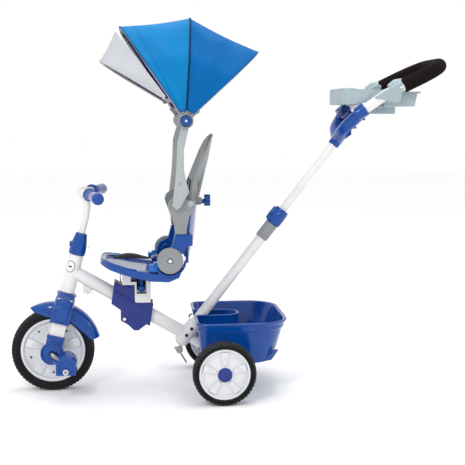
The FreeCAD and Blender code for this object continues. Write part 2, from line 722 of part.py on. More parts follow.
def hub_brackets():
    disc = rod(V(HUB_X, POST_OUT + 0.3, HUB_Z), V(HUB_X, HUB_OUT, HUB_Z), 18.5)
    pieces = [disc]
    for angle, _ in BOWS:
        out = V(math.cos(math.radians(angle)), 0, math.sin(math.radians(angle)))
        foot = V(HUB_X, BOW_HALF, HUB_Z)
        pieces.append(rod(foot + out * 12, foot + out * 40, 6))
    solid = fuse(pieces).cut(rod(V(HUB_X, 120, HUB_Z), V(HUB_X, 160, HUB_Z), 4 + RUN_CLEAR))
    for bow in canopy_bows().Solids:
        solid = solid.cut(bow)
    return pair(solid)


def canopy_knob(side):
    low = V(HUB_X, side * (HUB_OUT + 0.3), HUB_Z)
    grip = rod(low, V(HUB_X, side * KNOB_OUT, HUB_Z), 12.5)
    bolt = rod(V(HUB_X, side * (POST_IN + 1), HUB_Z), low, 4)
    return fuse([grip, bolt])


def canopy_bows():
    bows = [bent_rod(arch_points(HUB_X, HUB_Z, angle, radius, BOW_HALF, 24), ARCH_BENDS, BOW_R)
            for angle, radius in BOWS]
    lug = block((VISOR_X - 1, VISOR_X + 9), (BOW_HALF - 3, BOW_HALF + 3), (VISOR_Z - 3, VISOR_Z + 3))
    pin = rod(V(VISOR_X, BOW_HALF - 9, VISOR_Z), V(VISOR_X, BOW_HALF + 3, VISOR_Z), 2.5)
    bows[2] = fuse([bows[2], lug, pin, mirrored(lug), mirrored(pin)])
    return Part.makeCompound(bows)


def cover_shell(centre_x, centre_z, sections, wall, foot):
    """Open fabric shell over hoops at (angle, radius), with room for the hoops under it."""
    outer = []
    inner = []
    half = BOW_HALF + COVER_GAP
    for angle, radius in sections:
        corners = arch_points(centre_x, centre_z, angle, radius + COVER_GAP + wall, half + wall, foot)
        outer.append(arch_wire(corners))
    for angle, radius in extended(sections):
        corners = arch_points(centre_x, centre_z, angle, radius + COVER_GAP, half, foot - 6)
        inner.append(arch_wire(corners))
    return loft(outer).cut(loft(inner))


def extended(sections):
    """The same hoops, with one more 3 degrees beyond each end, in line with the last two."""
    first, second = sections[0], sections[1]
    last, before = sections[-1], sections[-2]
    lead = (first[1] - second[1]) / (first[0] - second[0])
    tail = (last[1] - before[1]) / (last[0] - before[0])
    step = 3 if last[0] > first[0] else -3
    head = (first[0] - step, first[1] - step * lead)
    end = (last[0] + step, last[1] + step * tail)
    return [head] + list(sections) + [end]


def canopy_cover():
    return cover_shell(HUB_X, HUB_Z, BOWS, COVER_WALL, 46)


VISOR_BOW = (149.3, 190.0)
VISOR_BACK = (127.0, 210.0)


def visor_bow():
    hoop = bent_rod(arch_points(VISOR_X, VISOR_Z, VISOR_BOW[0], VISOR_BOW[1], BOW_HALF - 6, 5), ARCH_BENDS, BOW_R)
    eye = rod(V(VISOR_X, BOW_HALF - 10, VISOR_Z), V(VISOR_X, BOW_HALF - 3.3, VISOR_Z), 6)
    solid = fuse([hoop, eye, mirrored(eye)])
    return solid.cut(rod(V(VISOR_X, -160, VISOR_Z), V(VISOR_X, 160, VISOR_Z), 2.5 + RUN_CLEAR))


def visor_cover():
    sections = [VISOR_BACK, VISOR_BOW]
    return cover_shell(VISOR_X, VISOR_Z, sections, COVER_WALL, 12)


# ---- Push handle --------------------------------------------------------------------------
UPPER_LOW = 150.0
UPPER_TOP = 640.0
YOKE_LOW = 612.0
ARM_START = V(300, 40, 682)
ARM_END = V(344, 111, 741)
BAR_BEND = V(403, 122, 782)
BAR_CORNER = V(553, HANDLE_HALF, 855)
BAR_R = 13.0
FOAM_R = 18.5
FOAM_START = V(440, 124.1, 800)


def tube_clamp():
    solid = ring(pole_point(POLE_TOP), pole_point(CLAMP_TOP), CLAMP_R, UPPER_R + RUN_CLEAR)
    across = V(-POLE.z, 0, POLE.x)
    tab_foot = pole_point(POLE_TOP + 22) + across * 14
    tab = rod(tab_foot, tab_foot + across * 11, 8)
    solid = solid.fuse(tab)
    return solid.cut(rod(pole_point(POLE_TOP - 1), pole_point(CLAMP_TOP + 1), UPPER_R + RUN_CLEAR)).removeSplitter()


def upper_push_tube():
    return ring(pole_point(UPPER_LOW), pole_point(UPPER_TOP), UPPER_R, 9.4)


def bar_points():
    """Corners of the U-shaped handle bar, right end to left end."""
    right = [ARM_END - (BAR_BEND - ARM_END).normalize() * 22, BAR_BEND, BAR_CORNER]
    return right + [V(p.x, -p.y, p.z) for p in reversed(right)]


BAR_BENDS = [90.0, 78.0, 78.0, 90.0]


def handle_bar():
    return bent_rod(bar_points(), BAR_BENDS, BAR_R).cut(bent_rod(bar_points(), BAR_BENDS, BAR_R - 1.8))


def handle_yoke():
    neck = rod(pole_point(YOKE_LOW), pole_point(YOKE_LOW + 46), 13)
    arm = bent_rod([pole_point(YOKE_LOW + 20), V(303, 52, 690), ARM_END], [60], 16.5)
    web_points = [pole_point(YOKE_LOW + 22), V(322, 66, 712), V(318, 30, 704), V(318, -30, 704), V(322, -66, 712)]
    web = Part.Face(Part.makePolygon([V(p.x, p.y, 0) for p in web_points + web_points[:1]]))
    web = web.extrude(V(0, 0, 900))
    slab = block((-60, 130), (-90, 90), (-10, 10))
    slab.rotate(ORIGIN, Y_AXIS, -50)
    slab.translate(pole_point(YOKE_LOW + 22))
    web = web.common(slab)
    solid = fuse([neck, arm, mirrored(arm), web])
    solid = solid.cut(rod(pole_point(YOKE_LOW - 1), pole_point(UPPER_TOP), UPPER_R))
    return solid.cut(bent_rod(bar_points(), BAR_BENDS, BAR_R)).removeSplitter()


def foam_grip():
    start = FOAM_START
    mirror = V(start.x, -start.y, start.z)
    points = [start, BAR_CORNER, V(BAR_CORNER.x, -BAR_CORNER.y, BAR_CORNER.z), mirror]
    return bent_rod(points, [78.0, 78.0], FOAM_R).cut(bent_rod(bar_points(), BAR_BENDS, BAR_R))


TRAY_HALF = 101.0
TRAY_WALL = 3.0


def tray_bay(outline, inner, half):
    """Open-topped compartment from its outer and inner side outlines."""
    return plate(outline, -half, half), plate(inner, -half + TRAY_WALL, half - TRAY_WALL)


def handle_tray():
    front, front_in = tray_bay([(296, 795), (296, 753), (330, 753), (400, 777), (400, 790)],
                               [(299, 800), (299, 756), (329, 756), (397, 779), (397, 800)], TRAY_HALF)
    back, back_in = tray_bay([(397, 790), (397, 748), (478, 748), (486, 786)],
                             [(400, 800), (400, 751), (475, 751), (483, 800)], TRAY_HALF)
    cup, cup_in = tray_bay([(372, 752), (372, 729), (442, 729), (442, 752)],
                           [(375, 764), (375, 732), (439, 732), (439, 764)], 46)
    lip = block((484, 494), (-TRAY_HALF, TRAY_HALF), (782, 786))
    saddle = plate([(392, 789), (432, 811), (443, 806), (434, 783), (430, 758), (402, 760)], TRAY_HALF - 1, 137)
    solid = fuse([front, back, cup, lip, saddle, mirrored(saddle)])
    for tool in (front_in, back_in, cup_in, foam_grip()):
        solid = solid.cut(tool)
    return solid.cut(bent_rod(bar_points(), BAR_BENDS, BAR_R)).removeSplitter()


# ---- Nodes --------------------------------------------------------------------------------
def sided(name, make):
    """Left and right nodes of a piece that moves by itself on each side."""
    return {name + "_left": make(-1), name + "_right": make(1)}


def wheel_nodes():
    nodes = {
        "front_tyre": tyre(FRONT_WHEEL_R, DISC_F, 22, WHEEL_F),
        "front_wheel_disc": wheel_disc(DISC_F, 19, 9, SPOKES, WHEEL_F, CRANK_R),
        "crank": crank(),
        "front_wheel_screws": front_wheel_screws(),
        "pedal_nuts": pedal_nuts(),
    }
    nodes.update(sided("pedal", pedal))
    nodes.update(sided("rear_tyre", lambda side: tyre(REAR_WHEEL_R, REAR_DISC, REAR_HALF, rear_centre(side))))
    nodes.update(sided("rear_wheel_disc", rear_disc))
    nodes.update(sided("rear_wheel_cap", rear_cap))
    return nodes


def all_nodes():
    makers = [main_frame, head_bushes, rear_axle, axle_push_nuts, lower_push_tube, push_tube_sleeve, frame_screws,
              hitch_clip, hitch_pin, storage_bin, fork, front_mudguard, fork_crown_cover, fork_end_caps,
              stem_collar, handlebar, handlebar_grips, steering_screws, seat_carriage, seat_column, seat_pan,
              recline_discs, seat_screws, seat_lock_knob, lap_strap, harness_buckles, back_shell, high_back,
              back_side_plates, shoulder_straps, back_knob, canopy_posts, hub_brackets, canopy_bows, canopy_cover,
              visor_bow, visor_cover, tube_clamp, upper_push_tube, handle_bar, handle_yoke, foam_grip, handle_tray]
    nodes = {make.__name__: make() for make in makers}
    nodes.update(wheel_nodes())
    nodes.update(sided("post_button", post_button))
    nodes.update(sided("canopy_knob", canopy_knob))
    return nodes


def main():
    os.makedirs("parts", exist_ok=True)
    for name, shape in all_nodes().items():
        print(name, len(shape.Solids), shape.isValid(), round(shape.Volume / 1000, 2))
        shape.exportStep("parts/" + name + ".step")


main()
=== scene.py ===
import json
import math

import bmesh
import bpy
from mathutils import Matrix, Quaternion, Vector


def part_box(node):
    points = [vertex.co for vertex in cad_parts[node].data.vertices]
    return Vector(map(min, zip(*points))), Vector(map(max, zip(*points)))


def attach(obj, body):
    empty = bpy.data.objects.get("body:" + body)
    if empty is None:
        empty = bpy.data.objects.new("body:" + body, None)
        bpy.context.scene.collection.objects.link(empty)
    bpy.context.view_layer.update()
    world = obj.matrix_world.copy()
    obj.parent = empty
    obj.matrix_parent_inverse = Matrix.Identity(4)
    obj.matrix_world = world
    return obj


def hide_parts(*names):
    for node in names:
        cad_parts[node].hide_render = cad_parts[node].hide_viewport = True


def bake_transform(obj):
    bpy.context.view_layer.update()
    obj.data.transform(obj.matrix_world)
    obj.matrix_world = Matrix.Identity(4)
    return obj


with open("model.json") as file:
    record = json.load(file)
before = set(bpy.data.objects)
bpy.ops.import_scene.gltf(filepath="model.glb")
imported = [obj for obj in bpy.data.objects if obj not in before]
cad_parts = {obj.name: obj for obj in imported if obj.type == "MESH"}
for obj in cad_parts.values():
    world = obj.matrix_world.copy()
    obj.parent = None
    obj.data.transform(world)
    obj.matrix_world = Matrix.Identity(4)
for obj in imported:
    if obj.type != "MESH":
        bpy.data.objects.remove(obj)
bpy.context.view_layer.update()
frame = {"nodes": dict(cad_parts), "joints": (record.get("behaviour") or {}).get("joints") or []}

bl_info = {
    "name": "Push Tricycle Looks",
    "version": (1, 0, 0),
    "blender": (4, 5, 0),
    "location": "View3D > Sidebar > Tricycle",
    "description": "Builds the visible pieces of a children's push tricycle round its packed frame",
    "category": "Object",
}

MM = 0.001
SAME_POINT = 2e-6
SLIVER = 1e-7
SIDES = (-1, 1)
SIDE_WORDS = ((-1, "left"), (1, "right"))
X_LINE = Vector((1, 0, 0))
Y_LINE = Vector((0, 1, 0))
Z_LINE = Vector((0, 0, 1))
JOINTS = {joint["name"]: joint for joint in frame["joints"]}


# ---- Places read from the frame ---------------------------------------------------------
def pivot(joint):
    """Point on a joint's axis, in metres."""
    return Vector(JOINTS[joint]["pos_m"])


def middle(node):
    """Middle of a CAD node's box."""
    low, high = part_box(node)
    return (low + high) / 2


FRONT_HUB = pivot("front_wheel_spin")
STEER = Vector(JOINTS["steering_turn"]["axis"]).normalized()
STEER_FRONT = Vector((-STEER.z, 0, STEER.x))
RECLINE = pivot("backrest_recline")
HUB = pivot("canopy_tilt")
VISOR_PIVOT = pivot("visor_flip")
POLE = Vector(JOINTS["handle_telescope"]["axis"]).normalized()
POLE_UP = Vector((-POLE.z, 0, POLE.x))
POLE_FOOT = Vector((-91, 0, 164.4)) * MM
RECLINE_MID = Vector((RECLINE.x, 0, RECLINE.z))
HUB_MID = Vector((HUB.x, 0, HUB.z))


# ---- Settings ---------------------------------------------------------------------------
def colour_prop(name, text, value):
    """Colour setting with its default, in linear light."""
    return bpy.props.FloatVectorProperty(
        name=name, description=text, subtype="COLOR", size=3, min=0, max=1, default=value)


def length_prop(name, text, value):
    """Length setting in metres."""
    return bpy.props.FloatProperty(
        name=name, description=text, default=value, min=0, subtype="DISTANCE", unit="LENGTH", precision=4)


def count_prop(name, text, value):
    """Whole-number setting."""
    return bpy.props.IntProperty(name=name, description=text, default=value, min=1)


def linear(red, green, blue):
    """Linear colour from a screen colour of 0 to 255."""
    return tuple(
        c / 255 / 12.92 if c <= 10 else ((c / 255 + 0.055) / 1.055) ** 2.4 for c in (red, green, blue))


class TricycleColours(bpy.types.PropertyGroup):
    """Colours of the tricycle's finishes"""
    steel: colour_prop("Frame", "Powder coat on the steel tubes", linear(224, 223, 222))
    wheel: colour_prop("Wheel discs", "Moulded wheel discs", linear(216, 217, 221))
    blue: colour_prop("Blue plastic", "Mudguard, bin, seat and grips", linear(1, 66, 146))
    violet: colour_prop("Violet plastic", "Seat carriage under the pan", linear(34, 50, 124))
    navy: colour_prop("Navy plastic", "Buckle and sockets", linear(30, 34, 104))
    clip: colour_prop("Clip blue", "Light strap clips", linear(24, 104, 190))
    grey: colour_prop("Grey plastic", "Backrest and its plates", linear(136, 139, 141))
    pale: colour_prop("Pale grey plastic", "Canopy posts and hub", linear(166, 173, 174))
    tray: colour_prop("Tray", "Handle tray", linear(158, 174, 181))
    tyre: colour_prop("Tyre", "Tyre rubber", linear(24, 26, 27))
    foam: colour_prop("Foam", "Push handle foam", linear(27, 19, 19))
    canopy_front: colour_prop("Canopy front panel", "Cloth ahead of the middle bow", linear(12, 122, 184))
    canopy_rear: colour_prop("Canopy rear panel", "Cloth behind the middle bow", linear(1, 98, 164))
    # The inside colour is a darker copy of the canopy cloth: painted shade on the inner face.
    canopy_lining: colour_prop("Canopy lining", "Inside of the canopy", linear(28, 48, 140))
    visor: colour_prop("Visor", "Top of the visor cloth", linear(192, 194, 200))
    # The underside colour is the visor grey darkened: painted shade on the visor's underside.
    visor_lining: colour_prop("Visor lining", "Underside of the visor cloth", linear(112, 110, 120))
    webbing: colour_prop("Webbing", "Harness straps", linear(38, 36, 38))


class TricycleSizes(bpy.types.PropertyGroup):
    """Sizes of the details"""
    cloth: length_prop("Cloth thickness", "Thickness of canopy and visor cloth", 0.0011)
    sag: length_prop("Cloth sag", "How far a canopy panel hangs in between two bows", 0.004)
    seam: length_prop("Seam width", "Width of the taped seam over the middle bow", 0.0045)
    piping: length_prop("Piping", "Radius of the piping on cloth edges", 0.0009)
    stitch: length_prop("Stitch spacing", "Distance from one stitch to the next", 0.0045)
    strap: length_prop("Strap width", "Width of the harness webbing", 0.030)
    tread_front: count_prop("Front tread blocks", "Blocks in one row round the front tyre", 64)
    tread_rear: count_prop("Rear tread blocks", "Blocks in one row round a rear tyre", 46)
    spokes: count_prop("Spokes", "Raised paddles on a wheel disc", 5)


# ---- Mesh helpers -----------------------------------------------------------------------
def at(x, y, z):
    """Point given in millimetres."""
    return Vector((x, y, z)) * MM


def closed(bm):
    """Merges doubles, drops slivers and turns all faces outwards."""
    bmesh.ops.remove_doubles(bm, verts=bm.verts, dist=SAME_POINT)
    bmesh.ops.dissolve_degenerate(bm, edges=bm.edges, dist=SLIVER)
    bmesh.ops.recalc_face_normals(bm, faces=bm.faces)
    return bm


def lofted(rows, caps=True, ring=True):
    """Skin over rows of points; ring closes each row, caps closes the two end rows."""
    bm = bmesh.new()
    verts = [[bm.verts.new(p) for p in row] for row in rows]
    for low, high in zip(verts, verts[1:]):
        last = len(low) if ring else len(low) - 1
        for i in range(last):
            j = (i + 1) % len(low)
            bm.faces.new((low[i], low[j], high[j], high[i]))
    if caps:
        bm.faces.new(verts[0])
        bm.faces.new(verts[-1])
    return closed(bm)


def prism(outline, low, high):
    """Side outline of (x, z) millimetres, from y low to y high."""
    return lofted([[at(x, low, z) for x, z in outline], [at(x, high, z) for x, z in outline]])


def box_solid(x, y, z):
    """Block from three (low, high) pairs in millimetres."""
    return prism([(x[0], z[0]), (x[1], z[0]), (x[1], z[1]), (x[0], z[1])], y[0], y[1])


def frame_of(axis):
    """Two directions square to an axis."""
    side = Vector((0, 1, 0)) if abs(axis.normalized().y) < 0.9 else Vector((0, 0, 1))
    first = axis.cross(side).normalized()
    return first, axis.cross(first).normalized()


def turned(profile, centre, axis, steps=64):
    """Closed profile of (radius, along) millimetres, turned about an axis through centre."""
    axis = axis.normalized()
    first, second = frame_of(axis)
    rows = []
    for step in range(steps):
        angle = math.tau * step / steps
        out = first * math.cos(angle) + second * math.sin(angle)
        rows.append([centre + out * (r * MM) + axis * (a * MM) for r, a in profile])
    rows.append([p.copy() for p in rows[0]])
    return lofted(rows, caps=False)


def tube(points, radius, steps=20, loop=False):
    """Round bar along points; radius in millimetres is one number or one for each point."""
    radii = radius if isinstance(radius, (list, tuple)) else [radius] * len(points)
    rows = []
    count = len(points)
    side = None
    for i, point in enumerate(points):
        before = points[i - 1] if i or loop else point
        after = points[(i + 1) % count] if i < count - 1 or loop else point
        along = (after - before).normalized()
        if side is None:
            side = frame_of(along)[0]
        side = (side - along * side.dot(along)).normalized()
        other = along.cross(side)
        rows.append([
            point + (side * math.cos(a) + other * math.sin(a)) * radii[i] * MM
            for a in (math.tau * k / steps for k in range(steps))])
    if loop:
        rows.append([p.copy() for p in rows[0]])
    return lofted(rows, caps=not loop)


def rod(start, end, radius, steps=32):
    """Straight round bar."""
    return tube([start, end], radius, steps)


def from_node(node):
    """Merged copy of a CAD node's mesh."""
    bm = bmesh.new()
    bm.from_mesh(frame["nodes"][node].data)
    bmesh.ops.remove_doubles(bm, verts=bm.verts, dist=SAME_POINT)
    return bm


def flipped(bm):
    """The same solid on the other side of the tricycle."""
    other = bm.copy()
    bmesh.ops.scale(other, vec=(1, -1, 1), verts=other.verts)
    return closed(other)


def new_object(name, bm, material=None, smooth=True):
    """Object from a bmesh, which is used up."""
    mesh = bpy.data.meshes.new(name)
    bm.to_mesh(mesh)
    bm.free()
    if smooth:
        mesh.shade_smooth()
    obj = bpy.data.objects.new(name, mesh)
    bpy.context.scene.collection.objects.link(obj)
    if material:
        mesh.materials.append(material)
    return obj


def joined(solids):
    """One bmesh from several, which are used up."""
    whole = bmesh.new()
    for solid in solids:
        part = bpy.data.meshes.new("part")
        solid.to_mesh(part)
        solid.free()
        whole.from_mesh(part)
        bpy.data.meshes.remove(part)
    return whole


def baked(obj, name, crease=None):
    """Plain mesh object from an object's modifiers, in place of it."""
    bpy.context.view_layer.update()
    graph = bpy.context.evaluated_depsgraph_get()
    mesh = bpy.data.meshes.new_from_object(
        obj.evaluated_get(graph), preserve_all_data_layers=True, depsgraph=graph)
    mesh.name = name
    source = obj.data
    bpy.data.objects.remove(obj)
    if source.users == 0:
        bpy.data.meshes.remove(source)
    mesh.shade_smooth()
    if crease is not None:
        mesh.set_sharp_from_angle(angle=math.radians(crease))
    result = bpy.data.objects.new(name, mesh)
    bpy.context.scene.collection.objects.link(result)
    return result


def moulded(name, solids, material, voxel=1.5, rounds=3, keep=0.5, cuts=()):
    """One moulded piece from overlapping solids: fused, cut, and with its edges rounded off."""
    blank = new_object(name + "_blank", joined(solids), material)
    tool = new_object(name + "_tool", joined(cuts)) if cuts else None
    if tool:
        carve = blank.modifiers.new("Carve", "BOOLEAN")
        carve.operation = "DIFFERENCE"
        carve.solver = "EXACT"
        carve.use_self = True
        carve.object = tool
    fuse = blank.modifiers.new("Fuse", "REMESH")
    fuse.mode = "VOXEL"
    fuse.voxel_size = voxel * MM
    relax = blank.modifiers.new("Round", "SMOOTH")
    relax.factor = 0.5
    relax.iterations = rounds
    if keep < 1:
        thin = blank.modifiers.new("Thin", "DECIMATE")
        thin.ratio = keep
    piece = baked(blank, name)
    if not piece.data.materials:
        piece.data.materials.append(material)
    if tool:
        bpy.data.objects.remove(tool)
    return piece


def add_bevel(obj, width, segments=2, angle=30):
    """Live bevel on sharp edges; width in millimetres, angle in degrees."""
    bevel = obj.modifiers.new("Edges", "BEVEL")
    bevel.width = width * MM
    bevel.segments = segments
    bevel.limit_method = "ANGLE"
    bevel.angle_limit = math.radians(angle)


def edged(name, bm, material, width=0.8, segments=2, angle=35, crease=30):
    """Piece with its sharp edges bevelled."""
    blank = new_object(name + "_blank", bm, material)
    add_bevel(blank, width, segments, angle)
    return baked(blank, name, crease=crease)


def fit(obj, body, slot, *nodes):
    """Puts a piece on its body and hides the CAD nodes that it stands for; its slot is not used."""
    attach(obj, body)
    if nodes:
        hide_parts(*nodes)
    return obj


def bent_line(corners, radii, steps=10):
    """Points along straight runs joined by tangent arcs."""
    line = [corners[0]]
    for before, corner, after, radius in zip(corners, corners[1:], corners[2:], radii):
        d_in = (corner - before).normalized()
        d_out = (after - corner).normalized()
        turn = d_in.angle(d_out)
        cut = radius * math.tan(turn / 2)
        axis = d_in.cross(d_out).normalized()
        begin = corner - d_in * cut
        centre = begin + axis.cross(d_in) * radius
        for step in range(steps + 1):
            spin = Quaternion(axis, turn * step / steps)
            line.append(centre + spin @ (begin - centre))
    line.append(corners[-1])
    return line


def spaced(line, count):
    """The same line with points at even distances."""
    runs = [(b - a).length for a, b in zip(line, line[1:])]
    total = sum(runs)
    out = []
    index = 0
    done = 0.0
    for step in range(count):
        goal = total * step / (count - 1)
        while index < len(runs) - 1 and done + runs[index] < goal:
            done += runs[index]
            index += 1
        share = min(1.0, (goal - done) / max(runs[index], 1e-12))
        out.append(line[index].lerp(line[index + 1], share))
    return out


# ---- Geometry Nodes trees ---------------------------------------------------------------
def add_node(tree, kind, **values):
    """Node with some of its settings."""
    node = tree.nodes.new(kind)
    for key, value in values.items():
        setattr(node, key, value)
    return node


def new_tree(name, sockets):
    """Geometry tree with named inputs; returns it with its input and output nodes."""
    tree = bpy.data.node_groups.new(name, "GeometryNodeTree")
    tree.interface.new_socket("Geometry", in_out="INPUT", socket_type="NodeSocketGeometry")
    for label, kind, default in sockets:
        socket = tree.interface.new_socket(label, in_out="INPUT", socket_type=kind)
        if default is not None:
            socket.default_value = default
    tree.interface.new_socket("Geometry", in_out="OUTPUT", socket_type="NodeSocketGeometry")
    return tree, add_node(tree, "NodeGroupInput"), add_node(tree, "NodeGroupOutput")


def finish_tree(tree, last, inputs, output):
    """Ends a tree with real meshes in their material."""
    real = add_node(tree, "GeometryNodeRealizeInstances")
    paint = add_node(tree, "GeometryNodeSetMaterial")
    tree.links.new(last, real.inputs["Geometry"])
    tree.links.new(real.outputs["Geometry"], paint.inputs["Geometry"])
    tree.links.new(inputs.outputs["Material"], paint.inputs["Material"])
    tree.links.new(paint.outputs["Geometry"], output.inputs["Geometry"])
    return tree


def round_tree():
    """Copies of a small shape round the Y line through Centre."""
    tree, inputs, output = new_tree("Copies round an axle", [
        ("Count", "NodeSocketInt", 12), ("Phase", "NodeSocketFloat", 0.0),
        ("Centre", "NodeSocketVector", None), ("Material", "NodeSocketMaterial", None)])
    points = add_node(tree, "GeometryNodePoints")
    index = add_node(tree, "GeometryNodeInputIndex")
    step = add_node(tree, "ShaderNodeMath", operation="DIVIDE")
    step.inputs[0].default_value = math.tau
    turn = add_node(tree, "ShaderNodeMath", operation="MULTIPLY_ADD")
    spin = add_node(tree, "ShaderNodeCombineXYZ")
    place = add_node(tree, "GeometryNodeInstanceOnPoints")
    link = tree.links.new
    link(inputs.outputs["Count"], points.inputs["Count"])
    link(inputs.outputs["Centre"], points.inputs["Position"])
    link(inputs.outputs["Count"], step.inputs[1])
    link(index.outputs[0], turn.inputs[0])
    link(step.outputs[0], turn.inputs[1])
    link(inputs.outputs["Phase"], turn.inputs[2])
    link(turn.outputs[0], spin.inputs["Y"])
    link(points.outputs[0], place.inputs["Points"])
    link(inputs.outputs["Geometry"], place.inputs["Instance"])
    link(spin.outputs[0], place.inputs["Rotation"])
    return finish_tree(tree, place.outputs["Instances"], inputs, output)


def stitch_tree():
    """Rounded stitches at even distances along a line."""
    tree, inputs, output = new_tree("Stitches along a line", [
        ("Spacing", "NodeSocketFloat", 0.004), ("Length", "NodeSocketFloat", 0.003),
        ("Thickness", "NodeSocketFloat", 0.0006), ("Material", "NodeSocketMaterial", None)])
    curve = add_node(tree, "GeometryNodeMeshToCurve")
    even = add_node(tree, "GeometryNodeResampleCurve", mode="LENGTH")
    points = add_node(tree, "GeometryNodeCurveToPoints", mode="EVALUATED")
    bead = add_node(tree, "GeometryNodeMeshUVSphere")
    bead.inputs["Segments"].default_value = 6
    bead.inputs["Rings"].default_value = 4
    bead.inputs["Radius"].default_value = 0.5
    shape = add_node(tree, "ShaderNodeCombineXYZ")
    smooth = add_node(tree, "GeometryNodeSetShadeSmooth")
    aim = add_node(tree, "FunctionNodeAlignRotationToVector", axis="Z")
    place = add_node(tree, "GeometryNodeInstanceOnPoints")
    link = tree.links.new
    link(inputs.outputs["Geometry"], curve.inputs[0])
    link(curve.outputs[0], even.inputs["Curve"])
    link(inputs.outputs["Spacing"], even.inputs["Length"])
    link(even.outputs[0], points.inputs[0])
    link(points.outputs["Points"], place.inputs["Points"])
    link(points.outputs["Tangent"], aim.inputs["Vector"])
    link(aim.outputs[0], place.inputs["Rotation"])
    link(bead.outputs["Mesh"], smooth.inputs[0])
    link(smooth.outputs[0], place.inputs["Instance"])
    link(inputs.outputs["Thickness"], shape.inputs["X"])
    link(inputs.outputs["Thickness"], shape.inputs["Y"])
    link(inputs.outputs["Length"], shape.inputs["Z"])
    link(shape.outputs[0], place.inputs["Scale"])
    return finish_tree(tree, place.outputs["Instances"], inputs, output)


def bead_tree():
    """Round bead or piping along a line."""
    tree, inputs, output = new_tree("Bead along a line", [
        ("Radius", "NodeSocketFloat", 0.002), ("Sides", "NodeSocketInt", 10),
        ("Material", "NodeSocketMaterial", None)])
    curve = add_node(tree, "GeometryNodeMeshToCurve")
    circle = add_node(tree, "GeometryNodeCurvePrimitiveCircle")
    sweep = add_node(tree, "GeometryNodeCurveToMesh")
    sweep.inputs["Fill Caps"].default_value = True
    smooth = add_node(tree, "GeometryNodeSetShadeSmooth")
    link = tree.links.new
    link(inputs.outputs["Geometry"], curve.inputs[0])
    link(inputs.outputs["Radius"], circle.inputs["Radius"])
    link(inputs.outputs["Sides"], circle.inputs["Resolution"])
    link(curve.outputs[0], sweep.inputs["Curve"])
    link(circle.outputs[0], sweep.inputs["Profile Curve"])
    link(sweep.outputs[0], smooth.inputs[0])
    return finish_tree(tree, smooth.outputs[0], inputs, output)


def grown(name, source, tree, values, crease=35):
    """Runs a tree on a source object and returns its plain mesh."""
    modifier = source.modifiers.new("Nodes", "NODES")
    modifier.node_group = tree
    names = {s.name: s.identifier for s in tree.interface.items_tree if s.in_out == "INPUT"}
    for label, value in values.items():
        modifier[names[label]] = value
    return baked(source, name, crease)


def tree_named(name, make):
    """The tree of that name, made when it is first asked for."""
    return bpy.data.node_groups.get(name) or make()


def copies_round(name, element, count, centre, material, phase=0.0):
    """Copies of an element, modelled above the origin, round the Y line through centre."""
    source = new_object(name + "_one", element, material)
    tree = tree_named("Copies round an axle", round_tree)
    values = {"Count": count, "Phase": phase, "Centre": tuple(centre), "Material": material}
    return grown(name, source, tree, values)


def line_object(name, lines):
    """Object of bare edges along lists of points."""
    bm = bmesh.new()
    for line in lines:
        verts = [bm.verts.new(p) for p in line]
        for a, b in zip(verts, verts[1:]):
            bm.edges.new((a, b))
    return new_object(name, bm, smooth=False)


STITCH_SHARE = 0.72


def stitches(name, lines, spacing, material, thickness):
    """Sewing along lines."""
    tree = tree_named("Stitches along a line", stitch_tree)
    values = {
        "Spacing": spacing, "Length": spacing * STITCH_SHARE, "Thickness": thickness, "Material": material}
    return grown(name, line_object(name + "_line", lines), tree, values)


def bead(name, lines, radius, material, sides=10):
    """Piping or a raised bead along lines."""
    tree = tree_named("Bead along a line", bead_tree)
    values = {"Radius": radius, "Sides": sides, "Material": material}
    return grown(name, line_object(name + "_line", lines), tree, values, crease=60)


# ---- Shader groups ----------------------------------------------------------------------
def new_group(name, inputs, outputs):
    """Shader node group with named inputs and outputs."""
    group = bpy.data.node_groups.new(name, "ShaderNodeTree")
    for label, kind, default in inputs:
        socket = group.interface.new_socket(label, in_out="INPUT", socket_type=kind)
        if default is not None:
            socket.default_value = default
    for label, kind in outputs:
        group.interface.new_socket(label, in_out="OUTPUT", socket_type=kind)
    return group, add_node(group, "NodeGroupInput"), add_node(group, "NodeGroupOutput")


def noise(tree, vector, scale, detail=2.0):
    """Noise on a vector; scale is a number or a socket."""
    node = add_node(tree, "ShaderNodeTexNoise")
    node.inputs["Detail"].default_value = detail
    tree.links.new(vector, node.inputs["Vector"])
    if isinstance(scale, (int, float)):
        node.inputs["Scale"].default_value = scale
    else:
        tree.links.new(scale, node.inputs["Scale"])
    return node.outputs["Fac"]


def ranged(tree, value, low, high, to_low, to_high):
    """Value moved from one range to another; the new range may be sockets."""
    node = add_node(tree, "ShaderNodeMapRange")
    tree.links.new(value, node.inputs["Value"])
    node.inputs["From Min"].default_value = low
    node.inputs["From Max"].default_value = high
    for label, goal in (("To Min", to_low), ("To Max", to_high)):
        if isinstance(goal, (int, float)):
            node.inputs[label].default_value = goal
        else:
            tree.links.new(goal, node.inputs[label])
    return node.outputs["Result"]


def mixed(tree, factor, first, second):
    """Colour mix; first and second are sockets or colours."""
    node = add_node(tree, "ShaderNodeMix", data_type="RGBA")
    for socket, value in ((node.inputs[0], factor), (node.inputs[6], first), (node.inputs[7], second)):
        if isinstance(value, (int, float)):
            socket.default_value = value
        elif isinstance(value, tuple):
            socket.default_value = (*value[:3], 1)
        else:
            tree.links.new(value, socket)
    return node.outputs[2]


def product(tree, first, second):
    """Product of two sockets."""
    node = add_node(tree, "ShaderNodeMath", operation="MULTIPLY")
    tree.links.new(first, node.inputs[0])
    tree.links.new(second, node.inputs[1])
    return node.outputs[0]


